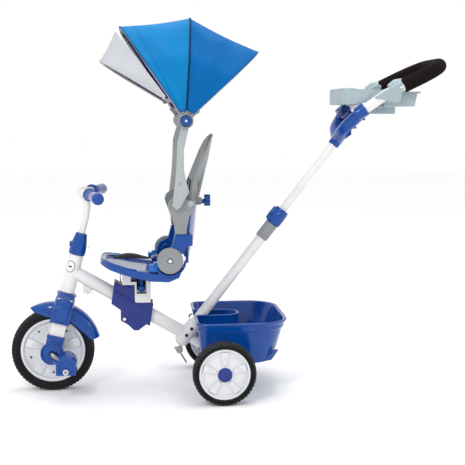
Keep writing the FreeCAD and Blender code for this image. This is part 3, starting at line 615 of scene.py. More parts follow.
def skin_group():
    """Moulded or painted skin: slow tint changes, fine grain and uneven gloss."""
    group, inputs, output = new_group("Moulded skin", [
        ("Colour", "NodeSocketColor", None), ("Tint", "NodeSocketColor", None),
        ("Mottle scale", "NodeSocketFloat", 14.0), ("Grain scale", "NodeSocketFloat", 900.0),
        ("Gloss low", "NodeSocketFloat", 0.25), ("Gloss high", "NodeSocketFloat", 0.4)],
        [("Colour", "NodeSocketColor"), ("Roughness", "NodeSocketFloat"), ("Height", "NodeSocketFloat")])
    place = add_node(group, "ShaderNodeTexCoord").outputs["Object"]
    slow = noise(group, place, inputs.outputs["Mottle scale"], 3.0)
    fine = noise(group, place, inputs.outputs["Grain scale"], 1.0)
    share = ranged(group, slow, 0.35, 0.7, 0.0, 1.0)
    group.links.new(
        mixed(group, share, inputs.outputs["Colour"], inputs.outputs["Tint"]), output.inputs["Colour"])
    group.links.new(
        ranged(group, slow, 0.3, 0.7, inputs.outputs["Gloss low"], inputs.outputs["Gloss high"]),
        output.inputs["Roughness"])
    group.links.new(fine, output.inputs["Height"])
    return group


def rub_group():
    """Edges rubbed paler, from how sharply the surface turns."""
    group, inputs, output = new_group("Rubbed edges", [
        ("Colour", "NodeSocketColor", None), ("Rubbed", "NodeSocketColor", None),
        ("Amount", "NodeSocketFloat", 0.3)], [("Colour", "NodeSocketColor")])
    sharp = add_node(group, "ShaderNodeNewGeometry").outputs["Pointiness"]
    place = add_node(group, "ShaderNodeTexCoord").outputs["Object"]
    mask = ranged(group, sharp, 0.56, 0.7, 0.0, inputs.outputs["Amount"])
    patchy = product(group, mask, ranged(group, noise(group, place, 60.0), 0.35, 0.65, 0.35, 1.0))
    group.links.new(
        mixed(group, patchy, inputs.outputs["Colour"], inputs.outputs["Rubbed"]),
        output.inputs["Colour"])
    return group


def dust_group():
    """Faint dust on surfaces that face up."""
    group, inputs, output = new_group("Settled dust", [
        ("Colour", "NodeSocketColor", None), ("Dust", "NodeSocketColor", (0.6, 0.58, 0.55, 1)),
        ("Amount", "NodeSocketFloat", 0.08)], [("Colour", "NodeSocketColor"), ("Mask", "NodeSocketFloat")])
    split = add_node(group, "ShaderNodeSeparateXYZ")
    group.links.new(add_node(group, "ShaderNodeNewGeometry").outputs["Normal"], split.inputs[0])
    place = add_node(group, "ShaderNodeTexCoord").outputs["Object"]
    up = ranged(group, split.outputs["Z"], 0.2, 1.0, 0.0, 1.0)
    patchy = product(group, up, ranged(group, noise(group, place, 35.0, 5.0), 0.3, 0.75, 0.0, 1.0))
    amount = product(group, patchy, inputs.outputs["Amount"])
    group.links.new(
        mixed(group, amount, inputs.outputs["Colour"], inputs.outputs["Dust"]),
        output.inputs["Colour"])
    group.links.new(amount, output.inputs["Mask"])
    return group


def weave_group():
    """Plain weave on a surface map measured in metres."""
    group, inputs, output = new_group("Plain weave", [
        ("Colour", "NodeSocketColor", None), ("Gap", "NodeSocketColor", None),
        ("Threads", "NodeSocketFloat", 1400.0)],
        [("Colour", "NodeSocketColor"), ("Height", "NodeSocketFloat"), ("Roughness", "NodeSocketFloat")])
    place = add_node(group, "ShaderNodeUVMap").outputs["UV"]
    scaled = add_node(group, "ShaderNodeVectorMath", operation="SCALE")
    group.links.new(place, scaled.inputs[0])
    group.links.new(inputs.outputs["Threads"], scaled.inputs["Scale"])
    split = add_node(group, "ShaderNodeSeparateXYZ")
    group.links.new(scaled.outputs[0], split.inputs[0])
    waves = []
    for axis in ("X", "Y"):
        wave = add_node(group, "ShaderNodeMath", operation="SINE")
        group.links.new(split.outputs[axis], wave.inputs[0])
        waves.append(wave.outputs[0])
    height = ranged(group, product(group, *waves), -1.0, 1.0, 0.0, 1.0)
    cloudy = noise(group, place, 9.0, 4.0)
    cloud = ranged(group, cloudy, 0.35, 0.7, 0.0, 0.5)
    tone = mixed(group, cloud, inputs.outputs["Colour"], inputs.outputs["Gap"])
    # Low points of the weave are mixed towards the darker gap colour: painted shade between the threads.
    group.links.new(
        mixed(group, ranged(group, height, 0.0, 0.35, 0.35, 0.0), tone, inputs.outputs["Gap"]),
        output.inputs["Colour"])
    group.links.new(height, output.inputs["Height"])
    group.links.new(ranged(group, cloudy, 0.3, 0.7, 0.62, 0.8), output.inputs["Roughness"])
    return group


def placed_group(tree, name, make, **values):
    """A shared group's node in a material, with its own values."""
    node = add_node(tree, "ShaderNodeGroup")
    node.node_tree = tree_named(name, make)
    for label, value in values.items():
        socket = node.inputs[label.replace("_", " ")]
        socket.default_value = (*value[:3], 1) if isinstance(value, tuple) else value
    return node


def blank_material(name, colour):
    """Material with an empty tree, its shader and its output."""
    material = bpy.data.materials.new(name)
    material.use_nodes = True
    material.diffuse_color = (*colour[:3], 1)
    tree = material.node_tree
    return material, tree, tree.nodes["Principled BSDF"]


def shade(colour, factor):
    """Colour made lighter or darker."""
    return tuple(min(1.0, c * factor) for c in colour[:3])


def paler(colour, share):
    """Colour moved towards white."""
    return tuple(c + (0.9 - c) * share for c in colour[:3])


def bump_to(tree, shader, height, strength, distance):
    """Fine relief from a height."""
    bump = add_node(tree, "ShaderNodeBump")
    bump.inputs["Strength"].default_value = strength
    bump.inputs["Distance"].default_value = distance
    tree.links.new(height, bump.inputs["Height"])
    tree.links.new(bump.outputs["Normal"], shader.inputs["Normal"])


def skin_material(name, colour, gloss, coat, grain, metallic=0.0, rub=0.1, dust=0.02, shine=0.26):
    """Plastic, paint, rubber, foam or metal, from the shared skin, rub and dust groups."""
    material, tree, shader = blank_material(name, colour)
    scale, depth = grain
    skin = placed_group(
        tree, "Moulded skin", skin_group, Colour=tuple(colour), Tint=shade(colour, 0.9),
        Grain_scale=scale, Gloss_low=gloss[0], Gloss_high=gloss[1])
    rubbed = placed_group(tree, "Rubbed edges", rub_group, Rubbed=paler(colour, 0.45), Amount=rub)
    dusty = placed_group(tree, "Settled dust", dust_group, Amount=dust)
    link = tree.links.new
    link(skin.outputs["Colour"], rubbed.inputs["Colour"])
    link(rubbed.outputs["Colour"], dusty.inputs["Colour"])
    link(dusty.outputs["Colour"], shader.inputs["Base Color"])
    link(skin.outputs["Roughness"], shader.inputs["Roughness"])
    bump_to(tree, shader, skin.outputs["Height"], 0.35, depth)
    shader.inputs["Metallic"].default_value = metallic
    shader.inputs["Coat Weight"].default_value = coat
    shader.inputs["Coat Roughness"].default_value = 0.08
    shader.inputs["Specular IOR Level"].default_value = shine
    return material


# Share of the cloth colour left in the gaps between threads: painted shade.
CLOTH_GAP_SHADE = 0.72
CLOTH_SHEEN = 0.04


def cloth_material(name, colour, threads):
    """Woven cloth that follows the piece's own surface map."""
    material, tree, shader = blank_material(name, colour)
    weave = placed_group(
        tree, "Plain weave", weave_group, Colour=tuple(colour), Gap=shade(colour, CLOTH_GAP_SHADE), Threads=threads)
    dusty = placed_group(tree, "Settled dust", dust_group, Amount=0.04)
    link = tree.links.new
    link(weave.outputs["Colour"], dusty.inputs["Colour"])
    link(dusty.outputs["Colour"], shader.inputs["Base Color"])
    link(weave.outputs["Roughness"], shader.inputs["Roughness"])
    bump_to(tree, shader, weave.outputs["Height"], 0.3, 0.0004)
    shader.inputs["Specular IOR Level"].default_value = 0.08
    shader.inputs["Sheen Weight"].default_value = CLOTH_SHEEN
    shader.inputs["Sheen Roughness"].default_value = 0.5
    return material


FINE = (1500.0, 0.00008)
SATIN = (700.0, 0.00016)
PEBBLE = (420.0, 0.0005)
FINISHES = {
    "powder_coat": ("steel", (0.28, 0.4), 0.35, FINE, {}),
    "wheel_white": ("wheel", (0.34, 0.48), 0.1, SATIN, {}),
    "gloss_blue": ("blue", (0.12, 0.2), 0.28, FINE, {}),
    "satin_violet": ("violet", (0.36, 0.5), 0.12, SATIN, {}),
    "navy_plastic": ("navy", (0.3, 0.42), 0.2, SATIN, {}),
    "clip_blue": ("clip", (0.26, 0.4), 0.3, FINE, {}),
    "grey_plastic": ("grey", (0.38, 0.52), 0.08, SATIN, {}),
    "pale_plastic": ("pale", (0.36, 0.5), 0.1, SATIN, {}),
    "tray_plastic": ("tray", (0.36, 0.5), 0.1, SATIN, {}),
    "tyre_rubber": ("tyre", (0.6, 0.78), 0.0, PEBBLE, {"rub": 0.1, "dust": 0.04, "shine": 0.16}),
    "handle_foam": ("foam", (0.78, 0.95), 0.0, PEBBLE, {"rub": 0.02, "dust": 0.0, "shine": 0.05}),
}
METALS = {
    "zinc_steel": ((0.34, 0.34, 0.35), (0.26, 0.42)),
    "chrome": ((0.82, 0.82, 0.84), (0.08, 0.18)),
    "blackened_screw": ((0.05, 0.05, 0.055), (0.35, 0.5)),
}
CLOTHS = {
    "canopy_front_cloth": ("canopy_front", 3800.0),
    "canopy_rear_cloth": ("canopy_rear", 3800.0),
    # The inside and underside cloths below are darker copies for inner faces: painted shade.
    "canopy_lining_cloth": ("canopy_lining", 3800.0),
    "visor_cloth": ("visor", 3800.0),
    "visor_lining_cloth": ("visor_lining", 3800.0),
    "webbing": ("webbing", 2600.0),
}
SLOT_FINISH = {
    "white_steel": "powder_coat", "wheel_white": "wheel_white", "blue_plastic": "gloss_blue",
    "violet_plastic": "satin_violet", "grey_plastic": "grey_plastic", "pale_grey_plastic": "pale_plastic",
    "tyre_rubber": "tyre_rubber", "foam": "handle_foam", "steel": "zinc_steel", "chrome": "chrome",
    "canopy_blue": "canopy_rear_cloth", "canopy_grey": "visor_cloth", "webbing": "webbing",
}


def finish_named(name):
    """The material of a finish, made when it is first asked for."""
    label = "look_" + name
    found = bpy.data.materials.get(label)
    if found:
        return found
    colours = bpy.context.scene.tricycle_colours
    if name in METALS:
        colour, gloss = METALS[name]
        return skin_material(label, colour, gloss, 0.0, FINE, metallic=1.0)
    if name in CLOTHS:
        prop, threads = CLOTHS[name]
        return cloth_material(label, tuple(getattr(colours, prop)), threads)
    if name == "seam_tape":
        return cloth_material(label, shade(tuple(colours.canopy_rear), 0.3), 2600.0)
    if name == "dark_piping":
        return cloth_material(label, shade(tuple(colours.canopy_rear), 0.5), 2600.0)
    if name == "white_badge":
        return skin_material(label, (0.84, 0.84, 0.85), (0.25, 0.35), 0.4, FINE)
    # Near-black painted shade, used to fill recesses and grooves where shade falls.
    if name == "dark_mark":
        return skin_material(label, (0.03, 0.032, 0.04), (0.4, 0.5), 0.1, FINE)
    prop, gloss, coat, grain, extra = FINISHES[name]
    return skin_material(label, tuple(getattr(colours, prop)), gloss, coat, grain, **extra)


# ---- Canopy and visor -------------------------------------------------------------------
BOWS = [(42.5, 252.0), (86.4, 251.0), (124.5, 279.0)]
COVER_OUT = 7.0
COVER_HALF = 150.0
COVER_FOOT = 27.0
VISOR_HOOPS = [(127.0, 210.0), (149.3, 190.0)]
VISOR_FOOT = 12.0
HOOP_BENDS = [0.060, 0.070, 0.070, 0.060]
HOOP_POINTS = 121
THREAD = 0.0009
TRIM_LIFT = 0.0004


def hoop(centre, angle, radius, half, foot):
    """Evenly spaced points along one U-shaped hoop, right foot to left foot; sizes in millimetres."""
    out = Vector((math.cos(math.radians(angle)), 0, math.sin(math.radians(angle))))
    base = Vector((centre.x, 0, centre.z))
    right = [
        base + out * foot * MM + at(0, half, 0),
        base + out * radius * 0.60 * MM + at(0, half * 1.03, 0),
        base + out * radius * MM + at(0, half * 0.66, 0)]
    left = [Vector((p.x, -p.y, p.z)) for p in reversed(right)]
    return spaced(bent_line(right + left, HOOP_BENDS), HOOP_POINTS)


def cloth_rows(centre, hoops, half, foot, steps, sag):
    """Rows of points from one hoop to the next; each panel hangs in by sag metres in its middle."""
    rows = []
    panels = []
    for panel, ((a0, r0), (a1, r1)) in enumerate(zip(hoops, hoops[1:])):
        first = hoop(centre, a0, r0, half, foot)
        last = hoop(centre, a1, r1, half, foot)
        for i, share in enumerate(steps):
            if panel and i == 0:
                continue
            row = []
            for k, (p, q) in enumerate(zip(first, last)):
                point = p.lerp(q, share)
                along = k / (len(first) - 1)
                depth = math.sin(math.pi * share) * math.sin(math.pi * along) ** 0.6
                core = Vector((centre.x, point.y * 0.5, centre.z))
                ripple = 0.35 * math.sin(along * 31 + panel) * math.exp(-8 * min(along, 1 - along))
                depth = depth + ripple * math.sin(math.pi * share)
                row.append(point + (core - point).normalized() * sag * depth)
            rows.append(row)
            panels.append((panel, share))
    return rows, panels


def cloth_sheet(name, rows, paint, materials, thickness):
    """One continuous sheet through rows, mapped in metres, with darker painted-shade copies of its cloth on
    the inner side.
    """
    bm = bmesh.new()
    mapping = bm.loops.layers.uv.new("Cloth")
    verts = [[bm.verts.new(p) for p in row] for row in rows]
    across = [0.0]
    for low, high in zip(rows, rows[1:]):
        mid = len(low) // 2
        across.append(across[-1] + (high[mid] - low[mid]).length)
    along = [[0.0] for _ in rows]
    for index, row in enumerate(rows):
        for a, b in zip(row, row[1:]):
            along[index].append(along[index][-1] + (b - a).length)
    for r in range(len(rows) - 1):
        for k in range(len(rows[r]) - 1):
            cells = ((r, k), (r + 1, k), (r + 1, k + 1), (r, k + 1))
            face = bm.faces.new([verts[i][j] for i, j in cells])
            face.material_index = paint(r)
            for loop, (i, j) in zip(face.loops, cells):
                loop[mapping].uv = (along[i][j], across[i])
    bm.normal_update()
    hub = Vector((rows[0][0].x, 0, rows[0][0].z))
    probe = max(bm.faces, key=lambda f: f.calc_center_median().z)
    if probe.normal.dot(probe.calc_center_median() - hub) < 0:
        bmesh.ops.reverse_faces(bm, faces=bm.faces)
    sheet = new_object(name, bm)
    for material in materials:
        sheet.data.materials.append(material)
    wall = sheet.modifiers.new("Cloth thickness", "SOLIDIFY")
    wall.thickness = thickness
    wall.offset = -1
    # The second half of the materials, darker painted-shade copies, go on the inner side.
    wall.material_offset = len(materials) // 2
    return sheet


class TRICYCLE_OT_canopy(bpy.types.Operator):
    """Canopy cloth over its three bows, with taped seams, piping and stitching"""
    bl_idname = "tricycle.canopy"
    bl_label = "Canopy"

    def execute(self, context):
        sizes = context.scene.tricycle_sizes
        hoops = [(a, r + COVER_OUT) for a, r in BOWS]
        steps = [0, 0.02, 0.06, 0.12, 0.2, 0.3, 0.4, 0.5, 0.6, 0.7, 0.78, 0.8, 0.82, 0.9, 0.95, 0.98, 1]
        rows, panels = cloth_rows(HUB, hoops, COVER_HALF, COVER_FOOT, steps, sizes.sag)
        # The two inner-side materials are darker copies of the cloth: painted shade.
        names = ["canopy_rear_cloth", "canopy_front_cloth"] + ["canopy_lining_cloth"] * 2
        cover = cloth_sheet(
            "canopy_cloth", rows, lambda r: 1 if panels[r + 1][0] else 0,
            [finish_named(n) for n in names], sizes.cloth)
        fit(cover, "canopy", "canopy_blue", "canopy_cover")
        self.trim(sizes, rows, panels)
        return {"FINISHED"}

    def trim(self, sizes, rows, panels):
        """Tape over the middle bow, hems, piping and sewing."""
        def lifted(row, depth):
            return [p + (p - Vector((HUB.x, p.y * 0.5, HUB.z))).normalized() * depth for p in row]

        middle_row = next(i for i, (panel, share) in enumerate(panels) if panel == 0 and share == 1)
        seam_row = next(i for i, (panel, share) in enumerate(panels) if panel == 1 and share == 0.8)
        half = sizes.seam / 2
        tape_rows = []
        lifts = ((-1, 0.0), (-0.8, 0.0022), (-0.35, 0.0010), (0.35, 0.0010), (0.8, 0.0022), (1, 0.0))
        for share, lift in lifts:
            row = []
            for p, q, r in zip(rows[middle_row - 1], rows[middle_row], rows[middle_row + 1]):
                toward = (r - q).normalized() if share > 0 else (p - q).normalized()
                row.append(q + toward * abs(share) * half)
            tape_rows.append(lifted(row, lift))
        tape = lofted(tape_rows, caps=False, ring=False)
        strip = new_object("tape_blank", tape, finish_named("seam_tape"))
        thick = strip.modifiers.new("Tape", "SOLIDIFY")
        thick.thickness = 0.0009
        thick.offset = 0
        mapped = baked(strip, "canopy_seam_tape")
        map_by_place(mapped)
        fit(mapped, "canopy", "canopy_blue")
        front = [lifted(rows[-1], TRIM_LIFT)]
        piping = bead("canopy_piping", front, sizes.piping, finish_named("dark_piping"))
        map_by_place(piping)
        fit(piping, "canopy", "canopy_grey")
        edges = [rows[0], [row[0] for row in rows], [row[-1] for row in rows]]
        hems = bead("canopy_hems", edges, 0.0012, finish_named("canopy_rear_cloth"), 8)
        map_by_place(hems)
        fit(hems, "canopy", "canopy_blue")
        lines = [lifted(rows[seam_row + k], TRIM_LIFT) for k in (-1, 1)]
        lines += [lifted(rows[1], TRIM_LIFT), lifted(rows[-2], TRIM_LIFT)]
        sewing = stitches("canopy_stitching", lines, sizes.stitch, finish_named("canopy_rear_cloth"), THREAD)
        map_by_place(sewing)
        fit(sewing, "canopy", "canopy_blue")


def map_by_place(obj):
    """Surface map in metres, from each face's own main plane."""
    mesh = obj.data
    layer = mesh.uv_layers.get("Cloth") or mesh.uv_layers.new(name="Cloth")
    for face in mesh.polygons:
        axis = max(range(3), key=lambda i: abs(face.normal[i]))
        first, second = [(1, 2), (0, 2), (0, 1)][axis]
        for loop in face.loop_indices:
            point = mesh.vertices[mesh.loops[loop].vertex_index].co
            layer.data[loop].uv = (point[first], point[second])


class TRICYCLE_OT_visor(bpy.types.Operator):
    """Visor cloth from the canopy's front edge to its own bow"""
    bl_idname = "tricycle.visor"
    bl_label = "Visor"

    def execute(self, context):
        sizes = context.scene.tricycle_sizes
        hoops = [(a, r + COVER_OUT) for a, r in VISOR_HOOPS]
        steps = [0, 0.03, 0.1, 0.2, 0.35, 0.5, 0.65, 0.8, 0.9, 0.97, 1]
        rows, _ = cloth_rows(VISOR_PIVOT, hoops, COVER_HALF, VISOR_FOOT, steps, sizes.sag * 0.6)
        # Its second material, the darker underside grey, is painted shade on the inner face.
        cover = cloth_sheet(
            "visor_cloth", rows, lambda r: 0,
            [finish_named("visor_cloth"), finish_named("visor_lining_cloth")], sizes.cloth)
        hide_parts("visor_cover")
        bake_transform(cover)
        hem = bead("visor_hem", [rows[-1]], 0.0022, finish_named("visor_cloth"), 10)
        map_by_place(hem)
        fit(hem, "visor", "canopy_grey")
        # The stitching takes the darker underside grey, a painted-shade colour.
        thread = finish_named("visor_lining_cloth")
        sewing = stitches("visor_stitching", [rows[-2]], sizes.stitch, thread, THREAD)
        map_by_place(sewing)
        fit(sewing, "visor", "canopy_grey")
        return {"FINISHED"}


# ---- Wheels -----------------------------------------------------------------------------
def mirrored_profile(side):
    """Closed profile from one side's (radius, y) points and their mirror image."""
    return side + [(r, -y) for r, y in reversed(side)]


def ring_outline(inner, outer, start, end, steps):
    """Outline of a piece of a flat ring, in (x, z) millimetres; angles from straight up."""
    arc = [math.radians(start + (end - start) * k / steps) for k in range(steps + 1)]
    outside = [(outer * math.sin(a), outer * math.cos(a)) for a in arc]
    return outside + [(inner * math.sin(a), inner * math.cos(a)) for a in reversed(arc)]


def paddle(disc, web):
    """Raised wheel spoke with its boss, above the origin on both faces."""
    solids = []
    for side in SIDES:
        outline = [
            (-disc * 0.085, disc * 0.36), (-disc * 0.15, disc * 0.82), (-disc * 0.11, disc * 0.87),
            (disc * 0.11, disc * 0.87), (disc * 0.15, disc * 0.82), (disc * 0.085, disc * 0.36)]
        solids.append(prism(outline, side * web, side * (web + 6.2)))
        boss = Vector((0, 0, disc * 0.60)) * MM
        ring = [(disc * 0.045, web), (disc * 0.08, web), (disc * 0.08, web + 7.4), (disc * 0.045, web + 7.4)]
        solids.append(turned(ring, boss, Y_LINE * side, 20))
    return joined(solids)


def round_size(node):
    """Outer radius and half width of a wheel part, in millimetres."""
    low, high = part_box(node)
    return (high.z - low.z) / 2 / MM, (high.y - low.y) / 2 / MM


def wheel_disc(name, centre, disc, half, web, bore, spokes):
    """Moulded disc with a stepped rim, a dished web and raised spokes."""
    side = [
        (bore, half + 1), (disc * 0.29, half + 1), (disc * 0.31, half - 0.5), (disc * 0.33, web + 2.6),
        (disc * 0.55, web + 1.4), (disc * 0.74, web + 0.8), (disc * 0.76, web + 2.6),
        (disc * 0.79, web + 2.6), (disc * 0.81, web + 0.6), (disc * 0.885, web + 0.5),
        (disc * 0.9, half - 3.5), (disc * 0.92, half - 0.6), (disc * 0.94, half), (disc * 0.985, half),
        (disc, half - 1)]
    white = finish_named("wheel_white")
    body = edged(name + "_web", turned(mirrored_profile(side), centre, Y_LINE, 96), white, 0.5)
    arms = copies_round(name + "_arms", paddle(disc, web), spokes, centre, white)
    add_bevel(arms, 1.1)
    arms = baked(arms, name + "_arms", crease=30)
    return merged(name, [body, arms])


def merged(name, objects):
    """One piece from several finished meshes; their materials are kept."""
    mesh = bpy.data.meshes.new(name)
    bm = bmesh.new()
    materials = []
    for obj in objects:
        remap = []
        for material in obj.data.materials:
            if material not in materials:
                materials.append(material)
            remap.append(materials.index(material))
        for face in obj.data.polygons:
            face.material_index = remap[face.material_index] if remap else 0
        bm.from_mesh(obj.data)
        old = obj.data
        bpy.data.objects.remove(obj)
        bpy.data.meshes.remove(old)
    bm.to_mesh(mesh)
    bm.free()
    for material in materials:
        mesh.materials.append(material)
    whole = bpy.data.objects.new(name, mesh)
    bpy.context.scene.collection.objects.link(whole)
    return whole


def tread_block(radius, y, width, length, slant):
    """One tread block on top of a tyre, above the origin."""
    root = radius - 2.4
    end = length / 2
    bm = prism([(-end, root), (-end, radius), (end, radius), (end, root)], -width / 2, width / 2)
    bmesh.ops.rotate(bm, verts=bm.verts, matrix=Matrix.Rotation(math.radians(slant), 3, "Z"))
    bmesh.ops.translate(bm, verts=bm.verts, vec=at(0, y, 0))
    return bm


def tyre(name, centre, outer, inner, half, blocks):
    """Hollow-look tyre with stepped side walls and three rows of tread blocks."""
    side = [
        (inner, half - 3), (inner + 1.5, half - 1), (inner + 4.5, half - 0.4), (inner + 5.3, half - 1.8),
        (inner + 7, half - 2), (inner + 8, half - 0.6), (outer - 9.5, half), (outer - 5, half - 1.6),
        (outer - 2.4, half * 0.76), (outer - 1.7, half * 0.55), (outer - 1.4, half * 0.2)]
    rubber = finish_named("tyre_rubber")
    body = edged(name + "_case", turned(mirrored_profile(side), centre, Y_LINE, 120), rubber, 0.5, 2)
    pitch = math.tau * outer / blocks
    middle_row = copies_round(
        name + "_mid", tread_block(outer, 0, half * 0.62, pitch * 0.62, 0), blocks, centre, rubber)
    rows = [body, middle_row]
    for side_sign in SIDES:
        block = tread_block(outer - 0.9, side_sign * half * 0.6, half * 0.44, pitch * 0.58, side_sign * 18)
        rows.append(copies_round(f"{name}_row_{side_sign}", block, blocks, centre, rubber, math.pi / blocks))
        shoulder = tread_block(outer - 3.4, side_sign * half * 0.86, half * 0.26, pitch * 0.5, side_sign * 30)
        rows.append(copies_round(f"{name}_edge_{side_sign}", shoulder, blocks, centre, rubber))
    return merged(name, rows)


def screw_head(radius, y, size, side):
    """Domed screw head at radius above the origin."""
    centre = at(0, side * y, radius)
    dome = [(0, -0.6), (size, -0.6), (size, 0.2), (size * 0.8, 0.9), (size * 0.4, 1.25), (0, 1.35)]
    return turned(dome, centre, Y_LINE * side, 16)


class TRICYCLE_OT_front_wheel(bpy.types.Operator):
    """Front tyre, disc and cover screws"""
    bl_idname = "tricycle.front_wheel"
    bl_label = "Front wheel"

    def execute(self, context):
        sizes = context.scene.tricycle_sizes
        outer, half = round_size("front_tyre")
        disc, _ = round_size("front_wheel_disc")
        rubber = tyre("front_tyre_rubber", FRONT_HUB, outer, disc, half, sizes.tread_front)
        fit(rubber, "front_wheel", "tyre_rubber", "front_tyre")
        web = wheel_disc("front_disc", FRONT_HUB, disc, 19, 9, 6, sizes.spokes)
        fit(web, "front_wheel", "wheel_white", "front_wheel_disc")
        heads = [screw_head(61, 11.6, 2.6, side) for side in SIDES]
        screws = copies_round(
            "front_disc_screws", joined(heads), sizes.spokes, FRONT_HUB, finish_named("blackened_screw"),
            math.radians(36))
        fit(screws, "front_wheel", "steel", "front_wheel_screws")
        return {"FINISHED"}


CAP_PROFILE = [
    (0, 12), (14, 12), (14, 16.6), (18.4, 16.6), (18.6, 18.6), (17.4, 20.2), (9, 20.9), (0, 21)]


class TRICYCLE_OT_rear_wheels(bpy.types.Operator):
    """Rear tyres, discs and hub caps"""
    bl_idname = "tricycle.rear_wheels"
    bl_label = "Rear wheels"

    def execute(self, context):
        sizes = context.scene.tricycle_sizes
        for side, word in SIDE_WORDS:
            centre = middle("rear_tyre_" + word)
            outer, half = round_size("rear_tyre_" + word)
            disc, _ = round_size("rear_wheel_disc_" + word)
            body = "rear_wheel_" + word
            rubber = tyre("rear_tyre_rubber_" + word, centre, outer, disc, half, sizes.tread_rear)
            fit(rubber, body, "tyre_rubber", "rear_tyre_" + word)
            web = wheel_disc("rear_disc_" + word, centre, disc, 16, 9, 5.2, sizes.spokes)
            fit(web, body, "wheel_white", "rear_wheel_disc_" + word)
            dome = turned(CAP_PROFILE, centre, Y_LINE * side, 48)
            cap = edged("rear_cap_" + word, dome, finish_named("satin_violet"), 0.4)
            fit(cap, body, "blue_plastic", "rear_wheel_cap_" + word)
        return {"FINISHED"}


class TRICYCLE_OT_pedals(bpy.types.Operator):
    """D-shaped pedals with recessed faces and ribbed treads"""
    bl_idname = "tricycle.pedals"
    bl_label = "Pedals"

    def execute(self, context):
        for word in ("left", "right"):
            low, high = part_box("pedal_" + word)
            spindle = pivot(f"pedal_{word}_spin")
            cx = spindle.x / MM
            top = high.z / MM
            bottom = low.z / MM
            half = (high.x - low.x) / 2 / MM
            rise = top - half
            arc = [math.radians(180 - 10 * k) for k in range(19)]
            outline = [(cx + half * math.cos(a), rise + half * math.sin(a)) for a in arc]
            outline = [(cx - half, bottom)] + outline + [(cx + half, bottom)]
            solid = prism(outline, low.y / MM, high.y / MM)
            inner = [(cx + (x - cx) * 0.72, rise - 3 + (z - rise) * 0.62) for x, z in outline]
            near = Vector((cx * MM, low.y - 0.01, spindle.z))
            far = Vector((cx * MM, high.y + 0.01, spindle.z))
            cuts = [
                prism(inner, low.y / MM - 1, low.y / MM + 3), prism(inner, high.y / MM - 3, high.y / MM + 1),
                rod(near, far, 6.3)]
            ribs = []
            for k in range(7):
                y = low.y / MM + 6 + k * (high.y - low.y) / MM / 7
                ribs.append(box_solid((cx - half - 0.8, cx + half + 0.8), (y, y + 3.2), (rise - 4, rise + 4)))
                ribs.append(box_solid((cx - 9, cx + 9), (y, y + 3.2), (bottom - 0.6, bottom + 3)))
            pedal = moulded(
                "pedal_block_" + word, [solid] + ribs, finish_named("gloss_blue"), 1.0, 2, 0.35, cuts)
            fit(pedal, "pedal_" + word, "blue_plastic", "pedal_" + word)
        return {"FINISHED"}


# ---- Steering ---------------------------------------------------------------------------
def steer_at(x, y, s):
    """Point at x ahead of or behind the steering line, y across and s up it, in millimetres."""
    return FRONT_HUB + (STEER * s - STEER_FRONT * x + Vector((0, y, 0))) * MM


def guard_point(angle, radius, y):
    """Point above the front axle; angle from straight up, plus to the rear."""
    a = math.radians(angle)
    return FRONT_HUB + at(radius * math.sin(a), y, radius * math.cos(a))


GUARD_FRONT = -27.5
GUARD_BACK = 75.0


def guard_row(share, wall):
    """Cross-section of the mudguard at a share of its length, tapering to both tips."""
    angle = GUARD_FRONT + (GUARD_BACK - GUARD_FRONT) * share
    nose = min(1.0, share / 0.3)
    tail = min(1.0, (1 - share) / 0.3)
    nose_full = math.sin(nose * math.pi / 2)
    tail_full = math.sin(tail * math.pi / 2)
    wide = 31.2 * (0.42 + 0.58 * nose_full ** 0.8) * (0.84 + 0.16 * tail_full)
    top = 127.5 + 1.5 * math.sin(share * math.pi)
    drop = 22.0 + 15.5 * nose_full * tail_full
    section = [
        (-1.0, drop), (-1.02, drop * 0.93), (-1.0, drop * 0.74), (-0.96, drop * 0.6), (-0.91, drop * 0.5),
        (-0.8, 8.0), (-0.64, 3.6), (-0.4, 1.0), (-0.15, 0.1)]
    section = section + [(-y, d) for y, d in reversed(section)]
    points = []
    for y, depth in section:
        scale = 1 if wall == 0 else 1 - 2.2 / wide
        lean = depth * 0.16 * (1 - nose)
        points.append(guard_point(angle + lean, top - depth - wall, y * wide * scale))
    return points


class TRICYCLE_OT_mudguard(bpy.types.Operator):
    """Front mudguard with a pointed nose, flared skirts and a broad tail"""
    bl_idname = "tricycle.mudguard"
    bl_label = "Front mudguard"

    def execute(self, context):
        steps = 44
        rows = []
        for k in range(steps + 1):
            outside = guard_row(k / steps, 0)
            inside = guard_row(k / steps, 2.4)
            rows.append(outside + list(reversed(inside)))
        blank = new_object("mudguard_blank", lofted(rows), finish_named("gloss_blue"))
        add_bevel(blank, 0.7, angle=50)
        finer = blank.modifiers.new("Smooth", "SUBSURF")
        finer.levels = 1
        finer.render_levels = 1
        guard = baked(blank, "mudguard_shell", crease=60)
        fit(guard, "steering", "blue_plastic", "front_mudguard")
        return {"FINISHED"}


CROWN_ROWS = [
    (112, 27, 56), (124, 27.5, 56), (136, 27, 54), (144, 25.5, 49.5), (149, 24, 41), (153, 23, 31),
    (156, 22.5, 25)]


def squared(value):
    """Sine or cosine drawn outwards, so that an oval becomes nearly a rounded box."""
    return math.copysign(abs(value) ** 0.55, value)


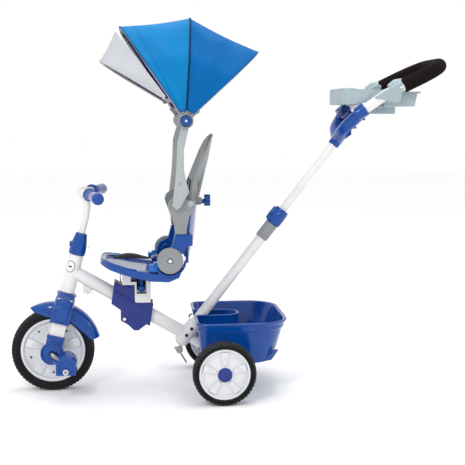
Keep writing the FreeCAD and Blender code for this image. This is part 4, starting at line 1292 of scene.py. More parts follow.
class TRICYCLE_OT_fork_covers(bpy.types.Operator):
    """Crown cover, fork end caps and stem collar"""
    bl_idname = "tricycle.fork_covers"
    bl_label = "Fork covers"

    def execute(self, context):
        blue = finish_named("gloss_blue")
        rows = []
        around = [math.tau * k / 40 for k in range(40)]
        for s, wide, deep in CROWN_ROWS:
            rows.append([
                steer_at(wide * squared(math.cos(a)), deep * squared(math.sin(a)), s) for a in around])
        crown = [from_node("fork_crown_cover"), lofted(rows)]
        ring = [(23.0, 148), (26.0, 149.5), (26.6, 153), (25.2, 156.2), (22.5, 156.2), (21.5, 150)]
        crown.append(turned(ring, FRONT_HUB, STEER, 48))
        for side in SIDES:
            boss = steer_at(2, side * 30, 143)
            crown.append(rod(boss, boss + at(0, side * 24, 0), 7.0))
            pillar = [(-17, 84), (-19, 118), (-14, 127), (14, 127), (19, 118), (17, 84)]
            low = [steer_at(x, side * 47, s) for x, s in pillar]
            high = [steer_at(x * 0.86, side * 58.5, 88 + (s - 84) * 0.86) for x, s in pillar]
            crown.append(lofted([low, high]))
        cover = moulded("crown_cover", crown, blue, 1.3, 3, 0.4)
        fit(cover, "steering", "blue_plastic", "fork_crown_cover")
        caps = [from_node("fork_end_caps")]
        for side in SIDES:
            rim = [(25.5, 53), (30, 53), (30, 57.4), (28.4, 58.4), (25.5, 57.4)]
            caps.append(turned(rim, FRONT_HUB, Y_LINE * side, 48))
            hub = [(7.4, 54), (11, 54), (11, 58), (7.4, 58)]
            caps.append(turned(hub, FRONT_HUB, Y_LINE * side, 32))
            band = [steer_at(x, side * 46, s) for x, s in ((-23, 38), (-23.5, 46.5), (23.5, 46.5), (23, 38))]
            edge = [p + at(0, side * 7, 0) for p in band]
            caps.append(lofted([band, edge]))
        ends = moulded("fork_ends", caps, blue, 1.2, 2, 0.4)
        fit(ends, "steering", "blue_plastic", "fork_end_caps")
        profile = [
            (11, 261.5), (20.5, 261.5), (21.8, 263.5), (21.9, 272), (21.2, 284), (19.6, 296), (17.6, 306),
            (16.6, 309.5), (15.8, 314), (14.6, 318.5), (12.6, 320), (9.2, 320)]
        collar_solids = [turned(profile, FRONT_HUB, STEER, 64)]
        boss = steer_at(-8, 0, 285.5)
        collar_solids.append(tube([boss, steer_at(-22, 0, 285), steer_at(-24.5, 0, 284.5)], [8.5, 8, 6.5]))
        for side in SIDES:
            path = ((21.9, 264), (22.0, 274), (20.9, 288), (18.6, 302))
            seam = [steer_at(-2, side * r, s) for r, s in path]
            collar_solids.append(tube(seam, 0.9, 8))
        collar = moulded("stem_collar_shell", collar_solids, blue, 1.1, 2, 0.4)
        fit(collar, "steering", "blue_plastic", "stem_collar")
        return {"FINISHED"}


class TRICYCLE_OT_grips(bpy.types.Operator):
    """Handlebar grips with a flange, a waist, a rounded end and rows of grip bumps"""
    bl_idname = "tricycle.grips"
    bl_label = "Handlebar grips"

    def execute(self, context):
        start = at(-358.5, 70, 524.5)
        end = at(-334, 164, 521.5)
        axis = (end - start).normalized()
        span = (end - start).length / MM
        profile = [
            (9.5, 0), (16.0, 0), (16.9, 1.2), (16.9, 3.8), (15.4, 5.2), (13.6, 9), (13.0, 24), (12.4, 44),
            (12.8, 60), (14.0, 74), (15.0, 86), (15.4, span), (14.4, span + 6), (11.6, span + 11),
            (7, span + 13.8), (0.0, span + 14.6), (0.0, span - 8), (9.5, span - 8)]
        blue = finish_named("gloss_blue")
        turn = Y_LINE.rotation_difference(axis).to_matrix().to_4x4()
        pieces = []
        for row in range(7):
            radius = 13.3 - row * 0.14
            dot = turned([(0, -0.6), (1.5, -0.6), (1.3, 0.5), (0.7, 0.95), (0, 1.05)],
                         at(0, 11 + row * 5.0, radius), Z_LINE, 8)
            bumps = copies_round(f"grip_bumps_{row}", dot, 15, Vector(), blue, row * math.pi / 15)
            bumps.data.transform(Matrix.Translation(start) @ turn)
            pieces.append(bumps)
        sleeve = new_object("grip_sleeve", turned(profile, start, axis, 48), blue)
        pieces.append(sleeve)
        right = merged("grip_right_half", pieces)
        left = new_object("grip_left_half", flipped(mesh_of(right)), blue)
        both_grips = merged("handlebar_grip_pair", [right, left])
        both_grips.data.shade_smooth()
        both_grips.data.set_sharp_from_angle(angle=math.radians(50))
        fit(both_grips, "steering", "blue_plastic", "handlebar_grips")
        return {"FINISHED"}


def mesh_of(obj):
    """Bmesh copy of an object's mesh."""
    bm = bmesh.new()
    bm.from_mesh(obj.data)
    return bm


# ---- Badges -----------------------------------------------------------------------------
def curved_oval(centre_s, turn, radius, wide, tall, lift):
    """Oval plate that lies round the head tube."""
    bm = bmesh.new()
    side_line = Vector((0, -1, 0))
    rings = 6
    around = 40
    verts = [[] for _ in range(rings + 1)]
    for k in range(rings + 1):
        for i in range(around):
            a = math.tau * i / around
            along = tall / 2 * k / rings * math.sin(a)
            across = wide / 2 * k / rings * math.cos(a)
            phi = turn + across / radius
            out = side_line * math.cos(phi) + STEER_FRONT * math.sin(phi)
            height = lift if k < rings else lift - 0.7
            point = FRONT_HUB + (STEER * (centre_s + along) + out * (radius + height)) * MM
            verts[k].append(bm.verts.new(point))
    for low, high in zip(verts, verts[1:]):
        for i in range(around):
            j = (i + 1) % around
            bm.faces.new((low[i], low[j], high[j], high[i]))
    return closed(bm)


class TRICYCLE_OT_badges(bpy.types.Operator):
    """Plain oval badges on the head tube and the handle yoke"""
    bl_idname = "tricycle.badges"
    bl_label = "Badges"

    def execute(self, context):
        turn = math.radians(24)
        ovals = []
        for name, wide, tall, lift, finish in (
                ("badge_rim", 27, 34, 0.5, "grey_plastic"), ("badge_face", 22, 29, 0.9, "white_badge"),
                ("badge_mark", 13, 5, 1.2, "navy_plastic")):
            plate = curved_oval(229, turn, 19.5, wide, tall, lift)
            ovals.append(new_object(name, plate, finish_named(finish)))
        head = merged("head_badge", ovals)
        fit(head, "frame", "grey_plastic")
        out = POLE_UP
        base = YOKE_MIDDLE + out * 12.2 * MM
        pieces = []
        for wide, tall, lift, finish in ((20, 30, 0.0, "white_badge"), (9, 6, 0.6, "navy_plastic")):
            ring = []
            for i in range(36):
                a = math.tau * i / 36
                ring.append(base + (Y_LINE * wide / 2 * math.cos(a) + POLE * tall / 2 * math.sin(a)) * MM)
            low = [p - out * 2 * MM for p in ring]
            top = [p + out * (lift + 0.8) * MM for p in ring]
            pieces.append(edged("yoke_badge_part", lofted([low, top]), finish_named(finish), 0.3))
        fit(merged("yoke_badge", pieces), "handle", "blue_plastic")
        return {"FINISHED"}


YOKE_MIDDLE = POLE_FOOT + POLE * 672 * MM


# ---- Storage bin and frame fittings -----------------------------------------------------
BIN_TOP = 198.0
BIN_X = (-86.0, 146.0)
BIN_HALF = 152.0
SLOT_HALF = 36.0
SLOT_END = 30.0


def rounded_plan(x, half, z, front, back, steps=9):
    """Rounded outline seen from above, at height z, in millimetres."""
    corners = [(x[1] - back, half - back, back, 0), (x[0] + front, half - front, front, 90),
               (x[0] + front, front - half, front, 180), (x[1] - back, back - half, back, 270)]
    points = []
    for cx, cy, r, start in corners:
        for k in range(steps + 1):
            a = math.radians(start + 90 * k / steps)
            points.append(at(cx + r * math.cos(a), cy + r * math.sin(a), z))
    return points


class TRICYCLE_OT_storage_bin(bpy.types.Operator):
    """Storage bin with its rolled rim, channel lip and corner tab"""
    bl_idname = "tricycle.storage_bin"
    bl_label = "Storage bin"

    def execute(self, context):
        blue = finish_named("gloss_blue")
        gap = SLOT_HALF + 3
        rim = rounded_plan((BIN_X[0] - 2, BIN_X[1] + 2), BIN_HALF + 2, BIN_TOP - 2, 26, 80)
        roll = [p for p in rim if not (p.x < -0.08 and abs(p.y) < gap * MM)]
        turn = next(i for i, (a, b) in enumerate(zip(roll, roll[1:])) if a.y > 0 > b.y and a.x < -0.05)
        roll = roll[turn + 1:] + roll[:turn + 1]
        roll = [at(BIN_X[0] - 2, -gap, BIN_TOP - 2)] + roll + [at(BIN_X[0] - 2, gap, BIN_TOP - 2)]
        arc = [math.radians(90 - 10 * k) for k in range(19)]
        mouth = [at(SLOT_END - SLOT_HALF + SLOT_HALF * math.cos(a), SLOT_HALF * math.sin(a), BIN_TOP - 1.5)
                 for a in arc]
        mouth = [at(-84, SLOT_HALF, BIN_TOP - 1.5)] + mouth + [at(-84, -SLOT_HALF, BIN_TOP - 1.5)]
        solids = [from_node("storage_bin"), tube(roll, 3.6, 12), tube(mouth, 3.4, 12)]
        for side in SIDES:
            tab = [at(x, side * y, z) for x, y, z in (
                (84, 106, 88), (104, 97, 88), (116, 94, 104), (124, 97, 117), (108, 110, 118))]
            out = at(4.5, side * 3.5, 0)
            solids.append(lofted([tab, [p + out for p in tab]]))
        body = moulded("bin_shell", solids, blue, 1.7, 2, 0.3)
        fit(body, "frame", "blue_plastic", "storage_bin")
        return {"FINISHED"}


class TRICYCLE_OT_frame_fittings(bpy.types.Operator):
    """Tube sleeve, socket screws, under-hook and small frame parts"""
    bl_idname = "tricycle.frame_fittings"
    bl_label = "Frame fittings"

    def execute(self, context):
        sleeve = [
            (14.1, 298.5), (15.6, 298.5), (16.8, 300), (17.2, 303), (17.2, 341), (16.6, 345.6), (14.1, 345.8)]
        grey = finish_named("grey_plastic")
        tube_sleeve = edged("tube_sleeve", turned(sleeve, POLE_FOOT, POLE, 56), grey, 0.5)
        fit(tube_sleeve, "frame", "grey_plastic", "push_tube_sleeve")
        heads = []
        for s in (-30, -8):
            for side in SIDES:
                spot = POLE_FOOT + POLE * s * MM + at(0, side * 19.4, 0)
                dome = [(0, -1), (4.6, -1), (4.6, 1.1), (3.6, 2.0), (2.2, 2.1), (2.0, 1.2), (0, 1.2)]
                heads.append(turned(dome, spot, Y_LINE * side, 20))
        hook = [at(-93, -12, 198), at(-99, -12, 196), at(-103, -11, 191), at(-101, -9, 187)]
        heads.append(tube(hook, [1.6, 2.2, 2.2, 1.4], 12))
        screws = edged("socket_screws", joined(heads), finish_named("blackened_screw"), 0.2)
        fit(screws, "frame", "steel", "frame_screws")
        nub = [at(-370 + x, 0, 260 + z) for x, z in ((0, 6), (0, -3), (0, -6))]
        fit(edged("tube_lug_cap", tube(nub, [4.4, 4.2, 3.0], 20), finish_named("powder_coat"), 0.6),
            "frame", "white_steel")
        return {"FINISHED"}


# ---- Seat -------------------------------------------------------------------------------
PAN_TOP = [(-333, 353), (-326, 355), (-300, 348), (-258, 337), (-200, 327), (-165, 321), (-146, 323)]


def height_on(profile, x):
    """Height at x on a profile of (x, z) points."""
    for (x0, z0), (x1, z1) in zip(profile, profile[1:]):
        if x <= x1:
            share = max(0.0, (x - x0) / (x1 - x0))
            return z0 + (z1 - z0) * share * share * (3 - 2 * share) * 0.3 + (z1 - z0) * share * 0.7
    return profile[-1][1]


class TRICYCLE_OT_seat(bpy.types.Operator):
    """Seat pan with its rim and disc cradles, recline discs, carriage and column"""
    bl_idname = "tricycle.seat"
    bl_label = "Seat"

    def execute(self, context):
        self.pan()
        self.discs()
        self.carriage()
        return {"FINISHED"}

    def pan(self):
        blue = finish_named("gloss_blue")
        rim = []
        for p in rounded_plan((-332, -150), 117, 0, 90, 16, 14):
            x = p.x / MM
            if x < -176 or abs(p.y) > 0.11:
                rim.append(at(x, p.y / MM, height_on(PAN_TOP, x) - 0.6))
        start = max(range(len(rim)), key=lambda i: rim[i].x + rim[i].y)
        rim = rim[start:] + rim[:start]
        rim = [p for p in rim if p.x < -0.198]
        solids = [from_node("seat_pan"), tube(rim, 3.4, 12)]
        cx = RECLINE.x / MM
        cz = RECLINE.z / MM
        for side in SIDES:
            cradle = [(cx + x, cz + z) for x, z in ring_outline(37.2, 41.5, 96, 246, 30)]
            solids.append(prism(cradle, side * 97, side * 130))
            pocket = [(cx + x, cz + z) for x, z in ring_outline(34.5, 39, 120, 236, 24)]
            solids.append(prism(pocket, side * 97, side * 120))
            solids.append(tube([at(cx + 40.5, side * 98, cz - 5), at(cx + 41, side * 129, cz - 3)], 3.2, 12))
        pan = moulded("seat_pan_shell", solids, blue, 1.6, 4, 0.4)
        fit(pan, "seat", "blue_plastic", "seat_pan")

    def discs(self):
        grey = finish_named("grey_plastic")
        profile = [
            (0, 120), (30, 120), (33, 121.5), (33.6, 124), (33.4, 129), (32, 131.2), (29, 131.9), (12, 133.4),
            (8.2, 133.6), (7.4, 132.9), (6.8, 131.2), (0, 131.0)]
        solids = [turned(profile, RECLINE_MID, Y_LINE * side, 72) for side in SIDES]
        discs = edged("recline_disc_pair", joined(solids), grey, 0.4)
        fit(discs, "seat", "grey_plastic", "recline_discs")
        screws = []
        for side in SIDES:
            head = [(0, 130), (5.6, 130), (5.6, 131.6), (4.6, 132.9), (2.2, 133.2), (2.0, 132.2), (0, 132.2)]
            screws.append(turned(head, RECLINE_MID, Y_LINE * side, 24))
            bolt = [(0, 28), (5.0, 28), (5.0, 30.6), (4.0, 32), (2.4, 32.2), (2.2, 31), (0, 31)]
            screws.append(turned(bolt, at(-274, 0, 191), Y_LINE * side, 24))
        fit(edged("seat_bolts", joined(screws), finish_named("chrome"), 0.2), "seat", "steel", "seat_screws")
        # A near-black ring in the recess round each screw head is painted shade in that gap.
        marks = []
        for side in SIDES:
            recess = [(6.9, 131.25), (6.9, 131.7), (5.7, 131.7), (5.7, 131.25)]
            marks.append(turned(recess, RECLINE_MID, Y_LINE * side, 32))
        fit(new_object("disc_recess", joined(marks), finish_named("dark_mark")), "seat", "grey_plastic")

    def carriage(self):
        violet = finish_named("satin_violet")
        solids = [from_node("seat_carriage")]
        for side in SIDES:
            ridge = [(-301, 262), (-300, 268), (-206, 213), (-206, 207)]
            solids.append(prism(ridge, side * 28, side * 31.2))
            collar = [(5.6, 27), (9, 27), (9, 31), (7.6, 31.8), (5.6, 31)]
            solids.append(turned(collar, at(-274, 0, 191), Y_LINE * side, 32))
            for x0, z0, x1, z1 in ((-249, 161, -237, 161), (-216, 177, -206, 172)):
                solids.append(prism([(x0, z0), (x1, z1), (x1, z1 + 4), (x0, z0 + 4)], side * 27, side * 30.4))
        notch = [(-263, 276), (-255, 276), (-255, 281), (-263, 281)]
        slot = [prism(notch, side * 26, side * 33) for side in SIDES]
        body = moulded("carriage_shell", solids, violet, 1.4, 2, 0.4, slot)
        fit(body, "seat", "violet_plastic", "seat_carriage")
        column = edged("column_block", from_node("seat_column"), finish_named("powder_coat"), 1.0, 2, 40)
        fit(column, "seat", "white_steel", "seat_column")
        core = [
            box_solid((-255.5, -241.5), (-20, 20), (291, 317)),
            box_solid((-215.6, -204.6), (-24, -6), (260, 316)),
            box_solid((-241, -216), (6, 26), (262, 317))]
        fit(edged("column_core", joined(core), finish_named("navy_plastic"), 0.6), "seat", "violet_plastic")
        knob = [
            (0, 262), (4, 262.2), (8.4, 264.6), (10.6, 268), (11.4, 272), (11, 276), (8, 278),
            (5.0, 278.4), (5.0, 316), (0, 316)]
        spot = Vector((pivot("seat_knob_turn").x, pivot("seat_knob_turn").y, 0))
        body = edged("seat_knob_dome", turned(knob, spot, Z_LINE, 40), finish_named("gloss_blue"), 0.3)
        fit(body, "seat_knob", "blue_plastic", "seat_lock_knob")


def strap(name, line, width, thick, material, side_of=None):
    """Flat webbing with rounded edges along a line of points, mapped in metres."""
    bm = bmesh.new()
    mapping = bm.loops.layers.uv.new("Cloth")
    half = width / 2
    edge = thick / 2
    section = [(-half, 0), (-half + edge, edge), (0, edge * 1.15), (half - edge, edge), (half, 0),
               (half - edge, -edge), (0, -edge * 1.15), (-half + edge, -edge)]
    rows = []
    run = [0.0]
    for i, point in enumerate(line):
        before = line[max(i - 1, 0)]
        after = line[min(i + 1, len(line) - 1)]
        along = (after - before).normalized()
        across = side_of(i / (len(line) - 1)) if side_of else Y_LINE
        across = (across - along * across.dot(along)).normalized()
        out = along.cross(across)
        rows.append([bm.verts.new(point + across * a + out * o) for a, o in section])
        if i:
            run.append(run[-1] + (point - before).length)
    count = len(section)
    for r in range(len(rows) - 1):
        for k in range(count):
            j = (k + 1) % count
            face = bm.faces.new((rows[r][k], rows[r][j], rows[r + 1][j], rows[r + 1][k]))
            for loop, (i, m) in zip(face.loops, ((r, k), (r, k + 1), (r + 1, k + 1), (r + 1, k))):
                loop[mapping].uv = (m * width / 4, run[i])
    bm.faces.new(rows[0])
    bm.faces.new(rows[-1])
    bmesh.ops.recalc_face_normals(bm, faces=bm.faces)
    return new_object(name, bm, material)


def mirrored_pair(side, near, far):
    """Low and high y of a block that lies from near to far on one side."""
    return tuple(sorted((side * near, side * far)))


def smooth_line(points, count):
    """Evenly spaced points on a smooth curve through a few given in millimetres."""
    pts = [at(*p) for p in points]
    pts = [pts[0] * 2 - pts[1]] + pts + [pts[-1] * 2 - pts[-2]]
    fine = []
    for a, b, c, d in zip(pts, pts[1:], pts[2:], pts[3:]):
        for k in range(12):
            t = k / 12
            fine.append(0.5 * (2 * b + (c - a) * t + (2 * a - 5 * b + 4 * c - d) * t * t
                               + (3 * b - a - 3 * c + d) * t ** 3))
    fine.append(pts[-2])
    return spaced(fine, count)


class TRICYCLE_OT_harness(bpy.types.Operator):
    """Harness webbing, its stitching, buckle and side clips"""
    bl_idname = "tricycle.harness"
    bl_label = "Harness"

    def execute(self, context):
        sizes = context.scene.tricycle_sizes
        web = finish_named("webbing")
        line = smooth_line([(-300, -2, 350.2), (-288, -2, 353.4), (-268, 0, 356.5), (-245, 1, 355.0),
                            (-222, 1, 350.8), (-200, 0, 348.2), (-186, 0, 347.6)], 60)
        twist = [math.radians(16) * math.sin(k / 59 * math.pi * 1.3) for k in range(60)]
        lap = strap("lap_webbing", line, sizes.strap, 0.0022, web,
                    lambda t: Vector((0, math.cos(twist[round(t * 59)]), math.sin(twist[round(t * 59)]))))
        fit(lap, "seat", "webbing", "lap_strap")
        hang = smooth_line([(-279, -8, 322), (-284, -9, 304), (-283, -9, 288)], 20)
        fit(strap("crotch_webbing", hang, 0.024, 0.002, web), "seat", "webbing")
        backs = []
        for side in SIDES:
            path = smooth_line([(-121, side * 40, 398), (-113, side * 41, 440), (-108, side * 42, 490),
                                (-99, side * 43, 560)], 50)
            backs.append(strap(f"shoulder_{side}", path, sizes.strap, 0.0022, web))
        shoulder = merged("shoulder_webbing", backs)
        fit(shoulder, "backrest", "webbing", "shoulder_straps")
        bars = []
        for row in range(3):
            x = -298 + row * 2.4
            bars.append([at(x, -13, 351.9 + row * 0.9), at(x, 9, 351.9 + row * 0.9)])
        fit(stitches("lap_stitching", bars, 0.0026, web, 0.0008), "seat", "webbing")
        self.buckles()
        return {"FINISHED"}

    def buckles(self):
        solids = [
            box_solid((-201, -172), (-23, 23), (342.5, 352.5)),
            box_solid((-197, -176), (-17, 17), (350, 355))]
        for k in range(3):
            x = -194 + k * 7
            solids.append(box_solid((x, x + 2.4), (-14, 14), (354, 356.4)))
        solids.append(box_solid((-176, -166), (-20, -4), (344, 351)))
        solids.append(box_solid((-176, -166), (4, 20), (344, 351)))
        fit(moulded("harness_buckle", solids, finish_named("navy_plastic"), 0.9, 2, 0.4),
            "seat", "blue_plastic", "harness_buckles")
        clips = []
        for side in SIDES:
            clips.append(box_solid((-208, -186), mirrored_pair(side, 100, 124), (332, 348)))
            clips.append(box_solid((-198, -184), mirrored_pair(side, 101, 121), (346, 354)))
            for k in range(3):
                x = -206 + k * 6.4
                clips.append(box_solid((x, x + 2.6), mirrored_pair(side, 102, 126.4), (334, 350)))
        fit(moulded("side_clips", clips, finish_named("clip_blue"), 1.0, 2, 0.4), "seat", "blue_plastic")


# ---- Backrest ---------------------------------------------------------------------------
PLATE_TOP = [
    (-159, 497), (-157, 508), (-146, 519), (-122, 516), (-92, 509), (-91, 495), (-104, 488), (-116, 482),
    (-134, 487), (-148, 494)]


class TRICYCLE_OT_backrest(bpy.types.Operator):
    """Back shell, ribbed high back, side plates, post buttons and rear knob"""
    bl_idname = "tricycle.backrest"
    bl_label = "Backrest"

    def execute(self, context):
        self.shells()
        self.plates()
        self.knob()
        return {"FINISHED"}

    def shells(self):
        solids = [from_node("back_shell")]
        for side in SIDES:
            edge = [at(x, side * y, z) for x, y, z in ((-110, 97, 405), (-107, 103, 452), (-103, 106, 494))]
            solids.append(tube(edge, 4.0, 12))
        shell = moulded("back_bucket", solids, finish_named("gloss_blue"), 1.6, 3, 0.4)
        fit(shell, "backrest", "blue_plastic", "back_shell")
        rows = [
            (500, -100, 106), (547, -93, 101), (595, -74, 92), (630, -61, 80), (655, -50, 60), (667, -43, 36)]
        tall = [from_node("high_back")]
        for side in SIDES:
            rim = [at(x - 4, side * (y + 0.5), z) for z, x, y in rows]
            tall.append(tube(rim, [4.2, 4.2, 4.2, 4.0, 3.8, 3.4], 12))
            for share in (0.35, 0.68):
                back = [(z, -80 + (z - 500) * 0.24) for z in (508, 547, 595, 640)]
                line = [at(x + 0.4 - share * share * 16, side * y * share, z)
                        for (z, x), (_, _, y) in zip(back, rows)]
                tall.append(tube(line, 2.6, 10))
            knuckle = at(-86, side * 97, 566)
            tall.append(rod(knuckle, knuckle + at(9, 0, -3), 5, 20))
        crest = [at(-46, 36, 667), at(-42, 24, 672), at(-40, 0, 674), at(-42, -24, 672), at(-46, -36, 667)]
        tall.append(tube(smooth_line([tuple(p / MM) for p in crest], 30), 4.0, 12))
        high = moulded("high_back_shell", tall, finish_named("grey_plastic"), 1.6, 3, 0.4)
        fit(high, "backrest", "grey_plastic", "high_back")

    def plates(self):
        grey = finish_named("grey_plastic")
        solids = [from_node("back_side_plates")]
        cuts = []
        for side in SIDES:
            solids.append(prism(PLATE_TOP, side * 120, side * 124.2))
            slot = turned([(0, 121), (6, 121), (6, 126), (0, 126)], at(-117, 0, 486), Y_LINE * side, 24)
            cuts.append(slot)
            small = [(-130, 462), (-122, 462), (-122, 465), (-130, 465)]
            cuts.append(prism(small, side * 120.6, side * 124))
        plates = moulded("side_plate_pair", solids, grey, 1.1, 3, 0.4, cuts)
        fit(plates, "backrest", "grey_plastic", "back_side_plates")
        # Near-black tubes along the plates' recessed parting lines are painted shade in those grooves.
        lines = []
        for side in SIDES:
            for path in (((-157, 499), (-151, 511), (-143, 513), (-136, 510)),
                         ((-156, 487), (-146, 484), (-136, 478), (-126, 476), (-112, 479), (-100, 489)),
                         ((-130, 496), (-126, 488), (-118, 482), (-108, 482))):
                run = smooth_line([(x, side * 120.3, z) for x, z in path], 24)
                lines.append(tube(run, 0.55, 8))
        fit(new_object("plate_part_lines", joined(lines), finish_named("dark_mark")),
            "backrest", "grey_plastic")
        pins = []
        for side in SIDES:
            dome = [(0, 120), (4.2, 120), (4.2, 125), (3, 126), (0, 126.3)]
            pins.append(turned(dome, at(-139, 0, 503), Y_LINE * side, 24))
        fit(edged("plate_pins", joined(pins), finish_named("white_badge"), 0.3), "backrest", "grey_plastic")
        for side, word in SIDE_WORDS:
            centre = middle("post_button_" + word)
            centre.y = 0
            face = [(0, 115.4), (7.3, 115.4), (7.3, 124.4), (6.4, 125.2), (3, 124.9), (0, 124.7)]
            button = turned(face, centre, Y_LINE * side, 40)
            fit(edged("button_cap_" + word, button, finish_named("pale_plastic"), 0.3),
                "post_button_" + word, "grey_plastic", "post_button_" + word)

    def knob(self):
        blue = finish_named("gloss_blue")
        solids = [from_node("back_knob")]
        for z, r in ((510, 7.6), (496, 9.6)):
            dome = [(0, -50), (r - 1, -50), (r, -48.5), (r, -45.5), (r - 1.6, -43.6), (0, -43)]
            solids.append(turned(dome, at(0, 0, z), X_LINE, 36))
        fit(moulded("back_knob_lobes", solids, blue, 0.9, 2, 0.4), "back_knob", "blue_plastic", "back_knob")
        nut = [(6.4, -82), (10, -82), (11, -80), (10.4, -72), (9, -66.5), (6.4, -66)]
        boss = moulded("knob_boss", [turned(nut, at(0, 0, 500), X_LINE, 24)],
                       finish_named("grey_plastic"), 0.9, 2, 0.5)
        fit(boss, "backrest", "grey_plastic")


# ---- Canopy posts and hub ---------------------------------------------------------------
class TRICYCLE_OT_canopy_posts(bpy.types.Operator):
    """Canopy posts with a central rib and a diamond foot, hub brackets and hub knobs"""
    bl_idname = "tricycle.canopy_posts"
    bl_label = "Canopy posts and hub"

    def execute(self, context):
        self.posts()
        self.hub()
        return {"FINISHED"}

    def posts(self):
        pale = finish_named("pale_plastic")
        solids = [from_node("canopy_posts")]
        marks = []
        for side in SIDES:
            rib = [(-133, 556), (-132, 600), (-129, 640), (-121, 694), (-113, 694), (-122, 640), (-123, 600),
                   (-122, 556), (-127, 548)]
            solids.append(prism(rib, side * 134, side * 138.9))
            foot = [(-143, 519), (-137, 497), (-129, 500), (-111, 534), (-119, 549), (-140, 546)]
            inner = [(x * 0.8 + -127 * 0.2, z * 0.8 + 526 * 0.2) for x, z in foot]
            low = [at(x, side * 136, z) for x, z in foot]
            high = [at(x, side * 139.6, z) for x, z in inner]
            solids.append(lofted([low, high]))
            stub = [(-137, 566), (-134, 560), (-126, 560), (-124, 566), (-127, 573), (-134, 573)]
            solids.append(prism(stub, side * 135, side * 138))
            arrow = [(-131.5, 552), (-128.5, 552), (-128.5, 556), (-126.8, 556), (-130, 560), (-133.2, 556),
                     (-131.5, 556)]
            marks.append(prism(arrow, side * 138.2, side * 139.3))
        posts = moulded("post_pair", solids, pale, 1.2, 3, 0.4)
        fit(posts, "canopy_posts", "pale_grey_plastic", "canopy_posts")
        fit(edged("post_arrows", joined(marks), finish_named("grey_plastic"), 0.15),
            "canopy_posts", "grey_plastic")

    def hub(self):
        solids = [from_node("hub_brackets")]
        centre = HUB_MID
        for side in SIDES:
            rim = [(13.6, 148), (18.6, 148), (19.0, 150), (18.2, 152.4), (16.2, 153), (14, 152)]
            solids.append(turned(rim, centre, Y_LINE * side, 56))
            for angle, _ in BOWS:
                out = at(math.cos(math.radians(angle)), 0, math.sin(math.radians(angle)))
                foot = centre + Y_LINE * side * 0.143
                solids.append(tube([foot + out * 33, foot + out * 41.5], 7.4, 20))
        brackets = moulded("hub_bracket_pair", solids, finish_named("grey_plastic"), 1.1, 2, 0.4)
        fit(brackets, "canopy", "grey_plastic", "hub_brackets")
        for side, word in SIDE_WORDS:
            dome = [
                (0, 127), (3.9, 127), (3.9, 149.4), (12.6, 149.4), (13.2, 151), (13.0, 156.6),
                (11.6, 159.2), (5.2, 160.2), (4.6, 158.6), (0, 158.4)]
            cap = turned(dome, centre, Y_LINE * side, 56)
            knob = edged("hub_knob_" + word, cap, finish_named("gloss_blue"), 0.3)
            pin = [(0, 157), (3.9, 157), (3.9, 159.6), (2.6, 160.8), (0, 161.1)]
            centre_pin = edged("hub_pin", turned(pin, centre, Y_LINE * side, 28), finish_named("chrome"), 0.2)
            fit(merged("hub_knob_cap_" + word, [knob, centre_pin]),
                "canopy_knob_" + word, "blue_plastic", "canopy_knob_" + word)


